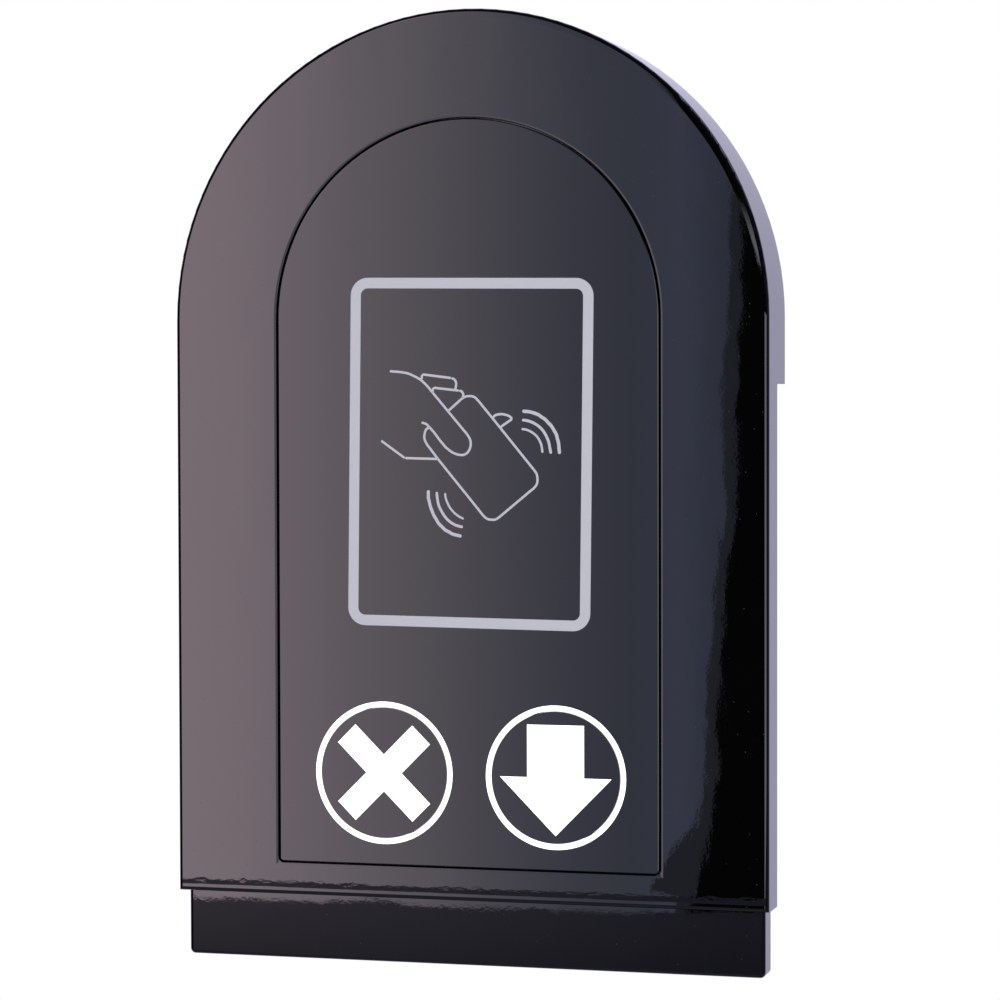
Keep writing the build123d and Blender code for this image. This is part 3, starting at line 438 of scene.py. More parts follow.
# Powder coat: small even dimples, rubbed to primer along sharp edges.
def powderCoat(name, colour, primer):
    look = powderLook
    r = Recipe(name)
    dimples = r.cells(look["dimpleSize"], "SMOOTH_F1") + r.noise(look["fineSize"]) * look["fineShare"]
    tone = r.blend(r.noise(look["patchSize"], 3), colour, shaded(colour, look["patch"]))
    worn = r.edges(look["edge"]) * r.step(r.noise(look["wearSize"], 3, 0.65), *look["wearEdge"])
    tone = r.blend(worn, tone, primer)
    rough = look["rough"] + r.noise(look["roughSize"]) * look["roughBy"] - worn * look["wearRough"]
    return r.finish(tone, rough, r.bump(dimples, look["depth"]))


boardLook = {
    "runs": {
        "Scale": 1.0, "Mortar Size": 0.18 * mm, "Mortar Smooth": 0.1, "Brick Width": 6.1 * mm,
        "Row Height": 1.9 * mm},
    "areaSize": 12 * mm, "areaEdge": (0.45, 0.5), "run": 2.2, "runLift": 0.01, "runShare": 0.8,
    "padSize": 3.2 * mm, "padEdge": (0.1, 0.13), "padRough": 0.1, "padMetal": 0.9,
    "patchSize": 30 * mm, "patch": 0.75, "rough": 0.32, "depth": 30 * micron}


# Circuit board: solder mask over copper runs laid like bricks, in patches, with round pads between them.
def circuitBoard(name, mask, copper):
    look = boardLook
    r = Recipe(name)
    face = r.node("ShaderNodeCombineXYZ", None, {0: r.x, 1: r.z})
    runs = r.node("ShaderNodeTexBrick", None, {"Vector": face, **look["runs"]}, "Fac")
    runs = runs * r.step(r.noise(look["areaSize"], 1), *look["areaEdge"])
    pads = r.step(r.cells(look["padSize"]), *look["padEdge"], 1, 0)
    tone = r.blend(r.noise(look["patchSize"]), mask, shaded(mask, look["patch"]))
    tone = r.blend(runs * look["runShare"], tone, shaded(mask, look["run"], look["runLift"]))
    tone = r.blend(pads, tone, copper)
    rough = look["rough"] + pads * look["padRough"]
    return r.finish(tone, rough, r.bump(runs + pads, look["depth"]), Metallic=pads * look["padMetal"])


paperLook = {
    "fibreSize": 0.8 * mm, "fibre": 0.9, "fibreShare": 0.5, "rough": 0.75, "fibreRough": 0.1,
    "depth": 30 * micron, "layerEdge": (0.4, 0.6), "layer": 0.62, "layerShare": 0.5}


# Paper: soft fibres, with the wound edge of a roll shown as fine rings about its axis.
def ticketPaper(name, colour, ring=None):
    look = paperLook
    r = Recipe(name)
    fibres = r.noise(look["fibreSize"], 4, 0.65)
    shade = r.blend(fibres * look["fibreShare"], colour, shaded(colour, look["fibre"]))
    height = fibres
    if ring:
        radius = ((r.y - ring["y"]) ** 2 + (r.z - ring["z"]) ** 2) ** 0.5
        layers = r.noise(ring["layer"], 1, 0.5, r.node("ShaderNodeCombineXYZ", None, {0: radius}))
        onEdge = r.step(r.x * r.x, ring["edge"] ** 2, (ring["edge"] + 0.1 * mm) ** 2)
        lines = onEdge * r.step(layers, *look["layerEdge"]) * look["layerShare"]
        shade = r.blend(lines, shade, shaded(colour, look["layer"]))
        height = fibres + layers * onEdge
    return r.finish(shade, look["rough"] + fibres * look["fibreRough"], r.bump(height, look["depth"]))


# Lit plastic: an even glow with the soft spots of the lamps behind it.
def litPlastic(name, look):
    r = Recipe(name)
    spots = r.noise(look["spotSize"], 1)
    seams = r.noise(look["seamSize"], 2) * look["seamShare"]
    grain = r.bump(r.noise(look["grainSize"]), look["grainDepth"])
    links = {
        "Emission Color": r.blend(spots + seams, look["glow"], look["glowToo"]),
        "Emission Strength": look["strength"]}
    return r.finish(look["body"], look["rough"] + spots * look["spotRough"], grain, **links)


# The gloss: sizes are in metres, and depths in thousandths of a millimetre
paintLook = {
    "colour": (0.0005, 0.0005, 0.0006), "colourToo": (0.0009, 0.0009, 0.001), "patchSize": 50 * mm,
    "waveSize": 20 * mm, "waveStretch": 0.5, "waveDepth": 30,
    "rollSize": 6.5 * mm, "rollStretch": 0.55, "rollDepth": 5.5,
    "fineSize": 1.1 * mm, "fineDepth": 1.1,
    "rough": 0.005, "smearSize": 30 * mm, "smearRough": 0.005,
    "dust": (0.05, 0.05, 0.05), "dustShare": 0.5, "dustSize": 4 * mm, "dustEdge": (0.03, 0.05),
    "dustRough": 0.2}
lowerEdge = {
    "from": coverLow.z + 2.4 * mm, "to": coverLow.z + 5.2 * mm, "depth": 18,
    "raggedSize": 2.6 * mm, "raggedStretch": 0.6, "raggedBy": 4 * mm}
coverRoll = {"width": 0.9 * mm, "depth": 50, "power": 1.15}
shoulderRoll = {  # softer outer edge of the arch, on its right
    "width": 3.2 * mm, "depth": 70, "power": 1.2, "fadeUp": 60 * mm, "left": -20 * mm, "right": 30 * mm}
glassRoll = {"width": 0.6 * mm, "depth": 22, "power": 1.2}
glassLook = {
    "colour": (0.0006, 0.0006, 0.0008), "rough": 0.012, "ior": 1.475, "waveSize": 30 * mm, "waveDepth": 1,
    "smear": (0.0014, 0.0014, 0.0017), "smearSize": 20 * mm, "smearStretch": (0.5, 1, 1.6),
    "smearEdge": (0.55, 0.8), "smearRough": 0.015}
litLook = {
    "glow": (1, 1, 1), "glowToo": (0.97, 0.98, 1.0), "strength": 1.25, "body": (0.8, 0.8, 0.82),
    "spotSize": 12 * mm, "spotRough": 0.05, "seamSize": 3 * mm, "seamShare": 0.02,
    "rough": 0.3, "grainSize": 0.5 * mm, "grainDepth": 5 * micron}
rollLow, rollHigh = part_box("paper_roll")
rollMiddle = (rollLow + rollHigh) / 2
rollSide = {"y": rollMiddle.y, "z": rollMiddle.z, "layer": 0.4 * mm, "edge": rollHigh.x - 0.1 * mm}

finishes = {
    "cover_paint": glossPaint("coverPaint", paintLook, lowerEdge, coverRoll, shoulderRoll),
    "carrier_paint": glossPaint("carrierPaint", paintLook),
    "window_glass": darkGlass("windowGlass", glassLook, glassRoll),
    "key_plastic": darkGlass("keyCaps", glassLook),
    "gasket_foam": poreMaterial("gasketFoam", (0.03, 0.03, 0.03), 0.7 * mm),
    "seal_foam": poreMaterial("sealFoam", (0.035, 0.035, 0.036), 1.1 * mm, 0.95, 0.4 * mm),
    "grommet_rubber": poreMaterial("grommetRubber", (0.028, 0.028, 0.028), 0.4 * mm, 0.62, 40 * micron),
    "platen_rubber": poreMaterial("platenRubber", (0.06, 0.06, 0.065), 0.3 * mm, 0.55, 20 * micron),
    "ferrite": poreMaterial("ferriteSheet", (0.09, 0.085, 0.085), 0.5 * mm, 0.7, 30 * micron),
    "ring_light": litPlastic("ringLight", litLook),
    "sign_plastic": litPlastic("signLight", litLook),
    "lamp_plastic": litPlastic("lampPlastic", {**litLook, "strength": 0.15, "body": (0.85, 0.8, 0.6)}),
    "circuit_board": circuitBoard("circuitBoard", (0.012, 0.11, 0.045), (0.75, 0.55, 0.28)),
    "shield_can": sheetMetal("shieldCan", (0.72, 0.71, 0.68), (6, 1, 1), 0.3),
    "switch_plastic": mouldedPlastic("switchPlastic", (0.03, 0.03, 0.032)),
    "chute_plastic": mouldedPlastic("chutePlastic", (0.028, 0.028, 0.03), 0.5, 0.6 * mm, 40 * micron),
    "spindle_plastic": mouldedPlastic("spindlePlastic", (0.2, 0.2, 0.21), 0.4),
    "terminal_plastic": mouldedPlastic("terminalPlastic", (0.03, 0.3, 0.1), 0.4),
    "gear_plastic": mouldedPlastic("gearPlastic", (0.82, 0.8, 0.72), 0.42, worn=1.1),
    "speaker_plastic": mouldedPlastic("speakerPlastic", (0.03, 0.03, 0.03), 0.6, 0.5 * mm, 50 * micron),
    "head_ceramic": mouldedPlastic("headCeramic", (0.55, 0.4, 0.33), 0.3, 0.3 * mm, 10 * micron, 1.15),
    "spring_steel": turnedMetal("springSteel", (0.62, 0.62, 0.62), 0.22),
    "zinc_fastener": turnedMetal("zincFastener", (0.7, 0.72, 0.75), 0.3),
    "post_brass": turnedMetal("postBrass", (0.8, 0.6, 0.28), 0.25),
    "lock_chrome": turnedMetal("lockChrome", (0.78, 0.79, 0.8), 0.1, axis="z"),
    "bush_bronze": turnedMetal("bushBronze", (0.6, 0.4, 0.2), 0.4, axis="x"),
    "motor_steel": turnedMetal("motorSteel", (0.5, 0.5, 0.52), 0.28, axis="x"),
    "hinge_steel": sheetMetal("hingeSteel", (0.58, 0.58, 0.59)),
    "bracket_steel": sheetMetal("bracketSteel", (0.62, 0.62, 0.63), (12, 1, 1), 0.36, (0.6, 0.58, 0.48)),
    "plate_steel": sheetMetal("plateSteel", (0.62, 0.63, 0.64), (1, 1, 14), 0.38, (0.56, 0.55, 0.5)),
    "printer_steel": sheetMetal("printerSteel", (0.6, 0.6, 0.6), (1, 10, 1), 0.34),
    "cutter_steel": sheetMetal("cutterSteel", (0.5, 0.5, 0.52), (14, 1, 1), 0.24),
    "sink_aluminium": sheetMetal("sinkAluminium", (0.75, 0.76, 0.77), (1, 1, 16), 0.32),
    "supply_steel": spangledZinc("supplySteel", (0.66, 0.66, 0.65)),
    "box_paint": powderCoat("boxPaint", (0.05, 0.052, 0.056), (0.32, 0.31, 0.3)),
    "paper": ticketPaper("ticketPaper", (0.9, 0.9, 0.87), rollSide),
    "core_card": ticketPaper("coreCard", (0.5, 0.38, 0.26)),
}
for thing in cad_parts.values():
    slot = thing.data.materials[0].name.split(".")[0]
    for place in thing.material_slots:
        place.material = finishes[slot]
print("finishes:", len(finishes))

# The ink of both prints on the window: a pale grey screen print
inkLook = {
    "colour": (0.54, 0.55, 0.62), "colourToo": (0.47, 0.48, 0.55), "patchSize": 20 * mm, "patchShare": 0.4,
    "grainSize": 0.9 * mm, "grainShare": 0.35, "grainRough": 0.1, "grainDepth": 5 * micron, "rough": 0.38}
printInk = Recipe("printInk")
inkGrain = printInk.noise(inkLook["grainSize"], 3)
inkPatches = inkGrain * inkLook["grainShare"] + printInk.noise(inkLook["patchSize"]) * inkLook["patchShare"]
inkTone = printInk.blend(inkPatches, inkLook["colour"], inkLook["colourToo"])
inkRough = inkLook["rough"] + inkGrain * inkLook["grainRough"]
printInk.finish(inkTone, inkRough, printInk.bump(inkGrain, inkLook["grainDepth"]))

# The frame round the reader, in mm from the arch's centre: a band with rounded corners, turned a little, as a
# screen print sits
frameLook = {
    "centre": (1.55, -49.5), "width": 92.1, "height": 128.0, "band": 3.9, "cornerRadius": 4.6,
    "cornerSteps": 10, "turn": radians(-0.7), "thickness": 0.03}


# The outline's points turned about their centre and set down on the window, with the band swept along them.
def readerFrame(look):
    band, turn = look["band"], look["turn"]
    loop = roundedLoop(look["width"] - band, look["height"] - band, look["cornerRadius"], look["cornerSteps"])
    loop = loop @ np.array([[cos(turn), sin(turn)], [-sin(turn), cos(turn)]])
    loop = loop + np.array(look["centre"]) + np.array([0, archZ / mm])
    side = rightOf(unit(np.roll(loop, -1, 0) - np.roll(loop, 1, 0)))
    across = np.array([-1, -0.97, 0.97, 1]) * band / 2
    rise = np.array([0, 1, 1, 0]) * look["thickness"]
    flat = loop[:, None] + side[:, None] * across[None, :, None]
    level = np.broadcast_to(faceY / mm - rise, flat.shape[:2])
    return gridShape(np.stack([flat[..., 0], level, flat[..., 1]], -1), True)


addPiece("reader_frame_print", [readerFrame(frameLook)], "front_door", printInk.material)

# The sign: a hand holds a telephone up to the reader, with waves on both sides. Points are across and up, in
# mm, from the arch's centre. Each line is (points, width).
penWidth = 0.88
signLines = {
    "handBack": ([(-28.9, -19.4), (-25.2, -19.7), (-22.1, -20.2), (-19.6, -21.2), (-16.9, -22.7),
                  (-14.5, -24.9), (-6.7, -34.0), (0.5, -42.4), (1.7, -44.3), (2.0, -46.4), (1.2, -48.7),
                  (-0.5, -50.0), (-2.7, -50.0), (-5.1, -49.1), (-7.5, -47.3), (-9.7, -44.8),
                  (-12.1, -41.7), (-13.8, -39.9), (-15.0, -38.8), (-16.8, -38.2)], penWidth),
    "phone": ([(-6.5, -34.0), (-1.4, -29.6), (0.1, -28.8), (1.8, -28.6), (3.5, -29.0), (4.9, -30.3),
               (10.4, -36.8), (26.0, -55.6), (26.9, -57.0), (27.2, -58.9), (26.9, -60.7), (25.8, -62.1),
               (12.8, -72.7), (11.3, -73.6), (9.9, -73.7), (8.2, -73.4), (6.7, -72.2), (-10.5, -51.6),
               (-14.7, -46.2), (-15.6, -44.3), (-15.6, -42.7), (-15.1, -41.0), (-13.8, -39.9)], penWidth),
    "indexBack": ([(-16.7, -22.6), (-16.4, -20.6)], penWidth),
    "indexTop": ([(-16.4, -20.6), (-5.3, -22.0)], penWidth),
    "indexTip": ([(-5.3, -22.0), (-4.3, -22.4), (-3.6, -23.3), (-3.5, -24.5), (-3.8, -26.4)], penWidth),
    "middleBack": ([(-12.5, -27.3), (-12.2, -25.5)], penWidth),
    "middleTop": ([(-12.2, -25.5), (-2.4, -26.6)], penWidth),
    "middleTip": ([(-2.4, -26.6), (-1.4, -26.9), (-0.8, -27.9), (-0.9, -29.2)], penWidth),
    "fingertip": ([(10.4, -36.4), (11.6, -35.5), (13.6, -35.2), (15.5, -35.5), (16.7, -36.0),
                   (17.8, -36.9)], penWidth),
    "fingertipUnder": ([(17.8, -36.9), (13.3, -39.9)], penWidth),
    "wristLeft": ([(-32.3, -44.9), (-23.2, -51.3)], penWidth),
    "wrist": ([(-23.2, -51.3), (-10.5, -51.6)], penWidth),
    "waveRightFar": ([(21.5, -34.1), (24.4, -34.4), (27.3, -35.3), (30.1, -37.1), (32.5, -39.6),
                      (34.2, -42.4), (35.1, -45.6), (35.5, -49.7)], 1.25),
    "waveRightMiddle": ([(21.4, -37.3), (23.9, -37.7), (26.3, -38.7), (28.5, -40.3), (30.1, -42.4),
                         (31.4, -45.2), (32.3, -49.6)], 1.05),
    "waveRightNear": ([(21.2, -40.6), (23.2, -40.9), (25.3, -41.9), (27.0, -43.3), (28.2, -45.2),
                       (28.8, -47.0), (29.1, -49.3)], 0.85),
    "waveLeftFar": ([(-14.2, -63.0), (-14.2, -65.8), (-13.4, -69.1), (-12.2, -72.1), (-10.3, -75.2),
                     (-7.9, -77.5), (-4.9, -79.1), (-1.5, -79.9)], 1.2),
    "waveLeftMiddle": ([(-11.0, -63.6), (-10.8, -65.8), (-10.3, -68.4), (-9.1, -70.9), (-7.4, -73.3),
                        (-5.2, -75.1), (-3.2, -76.0), (-1.0, -76.5)], 1.0),
    "waveLeftNear": ([(-7.8, -64.0), (-7.6, -65.8), (-6.9, -67.7), (-5.9, -69.5), (-4.4, -71.2),
                      (-2.7, -72.5), (-0.7, -73.5)], 0.8),
}
lineShapes = []
for points, width in signLines.values():
    verts, faces = printedLine(points, width, frameLook["thickness"])
    lineShapes.append((verts + np.array([0, faceY / mm, archZ / mm]), faces))
addPiece("hold_phone_sign_print", lineShapes, "front_door", printInk.material)
print("print:", len(signLines), "lines")

# Parts soldered to the boards inside, in mm: places are across and up, and sizes are across, up and out of the
# board. A capacitor's are its width and height.
boardParts = {
    "capacitors": [
        (-39, 98, 10, 14), (-27, 100, 8, 12), (-39, 84, 8, 12), (26, 101, 6.3, 9), (34, 101, 6.3, 9)],
    "relays": [(36, 77, 15, 19, 12)],
    "chips": [(-33, 62, 10, 14, 2), (31, 53, 7, 9, 1.8)],
    "connectors": [(-40.5, 44, 6, 16, 7), (40.5, 44, 6, 12, 7), (0, 105, 22, 6, 7)],
    "chokes": [(-12, 101, 8, 8, 4.5), (14, 93, 7, 7, 4)],
    "keyConnectors": [(1, -78, 18, 6, 5.5)],
    "keyChips": [(1, -98, 6, 8, 1.6), (-48, -80, 5, 4, 1.2), (50, -80, 5, 4, 1.2)]}
boardThick = 1.6
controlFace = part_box("control_board")[1].y / mm - boardThick  # front of the control board
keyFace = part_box("key_board")[1].y / mm  # back of the key board


# A block with rounded corners on a face: straight sides, then a small bevel round its end.
def standingBlock(x, z, width, height, rise, face=controlFace, sign=-1, corner=0.5, bevel=0.25):
    loop = roundedLoop(width, height, corner, 3)
    return stackShape(loop, [(0, 0), (0, rise - bevel), (bevel, rise)], (x, face, z), sign)


# Round parts: the profile is (inset, height) pairs turned about the part's axis.
def standingRound(x, z, width, profile, face=controlFace, sign=-1):
    return stackShape(roundedLoop(width, width, width / 2 - 0.001, 7), profile, (x, face, z), sign)


leadLook = {
    "pitch": 1.27, "endRoom": 0.8, "out": 0.55, "length": 1.3, "width": 0.42, "rise": 0.8, "corner": 0.1,
    "bevel": 0.15}


# Bent leads down both long sides of a chip: a row of small feet at the usual pitch.
def chipLeads(x, z, width, height, face=controlFace, sign=-1):
    count = int((height - leadLook["endRoom"]) / leadLook["pitch"])
    rows = z + (np.arange(count) - (count - 1) / 2) * leadLook["pitch"]
    sides = [x - width / 2 - leadLook["out"], x + width / 2 + leadLook["out"]]
    size = leadLook["length"], leadLook["width"], leadLook["rise"]
    ends = leadLook["corner"], leadLook["bevel"]
    return [standingBlock(side, row, *size, face, sign, *ends) for side in sides for row in rows]


# Capacitors: a sleeve with a crimped groove near the board, and a bare metal top. The foot is measured from the
# board, and the rim and the top from the sleeve's end.
canLook = {
    "foot": [(0.2, 0), (0, 0.3), (0, 1.4), (0.35, 1.8), (0.35, 2.2), (0, 2.6)],
    "rim": [(0, -0.5), (0.15, -0.15), (0.5, 0)], "top": [(0, -0.2), (0, 0.05), (0.25, 0.12)], "topInset": 1.3}
sleeves, tops = [], []
for x, z, width, rise in boardParts["capacitors"]:
    rim = [(inset, rise + past) for inset, past in canLook["rim"]]
    top = [(inset, rise + past) for inset, past in canLook["top"]]
    sleeves.append(standingRound(x, z, width, canLook["foot"] + rim))
    tops.append(standingRound(x, z, width - canLook["topInset"], top))
addPiece("capacitor_sleeves", sleeves, "box", finishes["switch_plastic"], True)
addPiece("capacitor_tops", tops, "box", finishes["sink_aluminium"])
relayCase = mouldedPlastic("relayCase", (0.02, 0.06, 0.22), 0.35)
addPiece("board_relay", [standingBlock(*p) for p in boardParts["relays"]], "box", relayCase)
chips = [standingBlock(*p) for p in boardParts["chips"]]
addPiece("board_chips", chips, "box", finishes["switch_plastic"])
chokes = [standingBlock(*p, corner=2) for p in boardParts["chokes"]]
addPiece("board_chokes", chokes, "box", finishes["ferrite"])

# Resistors in the board's open middle, on a grid, and none under the heat sink. Body and caps are across, up
# and out of the board.
resistorLook = {
    "seed": 7, "tries": 400, "count": 34, "left": -22, "right": 24, "bottom": 40, "top": 90,
    "pitch": [4.2, 2.6], "sinkHalf": 18, "sinkBottom": 51, "sinkTop": 88,
    "body": (1.2, 1.1, 0.5), "cap": (0.5, 1.15, 0.54), "capAt": 0.8, "corner": 0.1, "bevel": 0.08}
chance = np.random.default_rng(resistorLook["seed"])
places = np.stack([chance.uniform(resistorLook["left"], resistorLook["right"], resistorLook["tries"]),
                   chance.uniform(resistorLook["bottom"], resistorLook["top"], resistorLook["tries"])], 1)
besideSink = np.abs(places[:, 0]) > resistorLook["sinkHalf"]
belowSink = places[:, 1] < resistorLook["sinkBottom"]
aboveSink = places[:, 1] > resistorLook["sinkTop"]
clear = np.round(places[besideSink | belowSink | aboveSink] / resistorLook["pitch"]) * resistorLook["pitch"]
clear = np.unique(clear, axis=0)[:resistorLook["count"]]
rounding = {"corner": resistorLook["corner"], "bevel": resistorLook["bevel"]}
resistors = [standingBlock(x, z, *resistorLook["body"], **rounding) for x, z in clear]
leads = [lead for x, z, width, height, rise in boardParts["chips"] for lead in chipLeads(x, z, width, height)]
leads += [standingBlock(x + end * resistorLook["capAt"], z, *resistorLook["cap"], **rounding)
          for x, z in clear for end in (-1, 1)]
addPiece("board_leads", leads, "box", finishes["zinc_fastener"])
resistorGlaze = mouldedPlastic("resistorGlaze", (0.03, 0.03, 0.035), 0.3)
addPiece("board_resistors", resistors, "box", resistorGlaze)

socketLook = {
    "corner": 0.4, "wall": 0.8, "floor": 1.2, "pitch": 2.5, "endRoom": 4, "pin": 0.64, "pinBelow": 1,
    "pinCorner": 0.1, "pinBevel": 0.2}


# A board-to-wire socket: a walled box, open at its outer end, with a square pin for each wire.
def socketShapes(x, z, width, height, rise, face=controlFace, sign=-1):
    loop = roundedLoop(width, height, socketLook["corner"], 2)
    inside = [(socketLook["wall"], rise), (socketLook["wall"], socketLook["floor"])]
    walls = stackShape(loop, [(0, 0), (0, rise), *inside], (x, face, z), sign)
    half = (max(width, height) - socketLook["endRoom"]) / 2
    along = np.arange(-half, half + 0.01, socketLook["pitch"])
    wide = width > height
    size = socketLook["pin"], socketLook["pin"], rise - socketLook["pinBelow"]
    ends = socketLook["pinCorner"], socketLook["pinBevel"]
    return walls, [standingBlock(x + a * wide, z + a * (not wide), *size, face, sign, *ends) for a in along]


sockets = [socketShapes(*place) for place in boardParts["connectors"]]
pins = [pin for walls, row in sockets for pin in row]
addPiece("board_sockets", [walls for walls, row in sockets], "box", finishes["gear_plastic"])
addPiece("socket_pins", pins, "box", finishes["zinc_fastener"])
keySockets = [socketShapes(*place, keyFace, 1) for place in boardParts["keyConnectors"]]
keyWalls = [walls for walls, row in keySockets]
addPiece("key_board_socket", keyWalls, "front_door", finishes["gear_plastic"])
keyChips = [standingBlock(*p, keyFace, 1) for p in boardParts["keyChips"]]
addPiece("key_board_chips", keyChips, "front_door", finishes["switch_plastic"])

# Solder joints of the four switch legs behind each key: a cone with hollow sides
jointLook = {
    "across": 3.25, "up": 2.275, "width": 1.9, "profile": [(0, 0), (0.12, 0.35), (0.4, 0.65), (0.7, 0.8)]}
joints = [pin for walls, row in keySockets for pin in row]
for x, z, width, height, rise in boardParts["keyChips"]:
    joints += chipLeads(x, z, width, height, keyFace, 1)
for key in ("cancel_cap", "issue_cap"):
    low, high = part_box(key)
    middle = (low + high) / 2 / mm
    joints += [standingRound(middle.x + dx * jointLook["across"], middle.z + dz * jointLook["up"],
                             jointLook["width"], jointLook["profile"], keyFace, 1)
               for dx in (-1, 1) for dz in (-1, 1)]
addPiece("key_board_joints", joints, "front_door", finishes["zinc_fastener"])
print("board parts set")

# The keys' return springs, in mm, and the keys' travel
springLook = {"turns": 6.0, "wire": 0.7, "endTurns": 0.9, "steps": 300, "around": 10, "travel": 1.0}


# A round wire along a helix: its rise is one wire a turn over the end turns, and even between them.
def coilShape(low, high, look):
    wire, endTurns = look["wire"], look["endTurns"]
    middle = (low + high) / 2 / mm
    turns = np.linspace(0, look["turns"], look["steps"])
    openTurns = look["turns"] - 2 * endTurns
    opened = np.clip((turns - endTurns) / openTurns, 0, 1)
    closed = turns - opened * openTurns
    length = (high.y - low.y) / mm - wire * (1 + 2 * endTurns)
    radius = (high.x - low.x) / mm / 2 - wire / 2
    angle = 2 * pi * turns
    outward = np.stack([np.cos(angle), 0 * angle, np.sin(angle)], 1)
    centre = outward * radius + np.array([middle.x, low.y / mm + wire / 2, middle.z])
    centre[:, 1] += closed * wire + opened * length
    across = np.cross(unit(np.gradient(centre, axis=0)), outward)
    ring = np.linspace(0, 2 * pi, look["around"], endpoint=False)[None, :, None]
    skin = np.cos(ring) * outward[:, None] + np.sin(ring) * across[:, None]
    return gridShape(centre[:, None] + wire / 2 * skin)


for key in ("cancel", "issue"):
    low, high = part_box(key + "_spring")
    coil = addPiece(key + "_return_spring", [coilShape(low, high, springLook)], "front_door",
                    finishes["spring_steel"], True)
    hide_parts(key + "_spring")
    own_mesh(coil)
print("springs set")

view = {
    "from": (0.3379, -1.2642, 0.0374), "towards": (-0.2665, 0.9633, -0.0319), "roll": radians(-0.14),
    "lens": 120.39}
camera = bpy.data.objects.new("camera", bpy.data.cameras.new("camera"))
scene.collection.objects.link(camera)
scene.camera = camera
ahead = Vector(view["towards"]).normalized()
level = ahead.cross(Vector((0, 0, 1))).normalized()
above = level.cross(ahead)
right = level * cos(view["roll"]) + above * sin(view["roll"])
up = above * cos(view["roll"]) - level * sin(view["roll"])
camera.matrix_world = Matrix((right, up, -ahead)).transposed().to_4x4()
camera.location = view["from"]
camera.data.lens = view["lens"]
camera.data.sensor_width = 36
camera.data.clip_start = 0.01
scene.view_settings.view_transform = "Standard"

sky = bpy.data.worlds.new("sky")
scene.world = sky
sky.use_nodes = True
sky.node_tree.nodes["Background"].inputs["Color"].default_value = (1, 1, 1, 1)
sky.node_tree.nodes["Background"].inputs["Strength"].default_value = 1.0


# A flat or curved card of points in metres. Cards that only shape the reflections aren't seen.
def addCard(name, grid, finish, seen=False):
    rows, columns = grid.shape[:2]
    at = np.arange(rows * columns).reshape(rows, columns)
    quads = np.stack([at[:-1, :-1], at[:-1, 1:], at[1:, 1:], at[1:, :-1]], -1).reshape(-1, 4)
    mesh = bpy.data.meshes.new(name)
    mesh.from_pydata(grid.reshape(-1, 3).tolist(), [], quads.tolist())
    mesh.materials.append(finish)
    card = bpy.data.objects.new(name, mesh)
    scene.collection.objects.link(card)
    card.visible_camera = card.visible_diffuse = card.visible_shadow = card.visible_transmission = seen
    return card


floorLook = {
    "half": 2.0, "front": -2.0, "back": 1.6, "level": -0.6, "patchSize": 0.3, "rough": 0.8,
    "colour": (0.82, 0.82, 0.82), "colourToo": (0.79, 0.79, 0.79)}
paleFloor = Recipe("paleFloor")
floorPatches = paleFloor.noise(floorLook["patchSize"])
floorTone = paleFloor.blend(floorPatches, floorLook["colour"], floorLook["colourToo"])
paleFloor.finish(floorTone, floorLook["rough"])
floorX, floorY = np.meshgrid(np.linspace(-floorLook["half"], floorLook["half"], 5),
                             np.linspace(floorLook["front"], floorLook["back"], 5))
floorGrid = np.stack([floorX, floorY, np.full_like(floorX, floorLook["level"])], -1)
addCard("floor", floorGrid, paleFloor.material, True).visible_glossy = False

# The lit card in front of the machine: bright on the left, dim on the right, ending in a slanted edge with a
# dim border. Past it the card is dark, then lit again low down, and the dim ground lies under it all. Its glow
# is reflected in the gloss of the cover and the window. Tones go across, from left to right.
cardLook = {
    "y": -3.0, "left": -1.27, "right": 2.6, "bottom": -1.6, "top": 1.6, "soft": 0.0012, "brightest": 5.0,
    "tones": [
        (-1.27, (4.55, 3.75, 4.20)), (-1.15, (4.21, 3.46, 3.90)), (-1.05, (3.46, 2.93, 3.39)),
        (-0.98, (2.80, 2.50, 2.86)), (-0.84, (1.86, 1.76, 2.06)), (-0.77, (1.40, 1.36, 1.71)),
        (-0.70, (1.02, 1.06, 1.40)), (-0.62, (0.80, 0.86, 1.21)), (-0.56, (0.84, 0.92, 1.42)),
        (-0.50, (0.60, 0.68, 1.02))],
    "edgeAt": -0.479, "edgeSlope": 0.052, "edgeBelow": 0.15, "kneeSlope": 0.2, "kneeBelow": -0.45,
    "dim": (0.30, 0.32, 0.42), "dimWidth": 0.0155, "dimGrows": 0.45, "dimBelow": -0.5, "dimTo": -0.59,
    "dark": (0.015, 0.015, 0.015),
    "side": (2.5, 2.55, 2.8), "sideFrom": -0.437, "sideTop": 0.22, "sideSoft": 0.02, "sideFade": 0.1,
    "groundTones": [(-1.27, (0.66, 0.61, 0.74)), (-0.87, (0.43, 0.41, 0.55)), (-0.50, (0.23, 0.22, 0.34))],
    "ground": -0.630, "groundAt": -1.25, "groundSlope": 0.022, "curlFrom": -0.75, "groundCurl": 0.022,
    "groundFade": 0.1, "groundFar": 0.7}


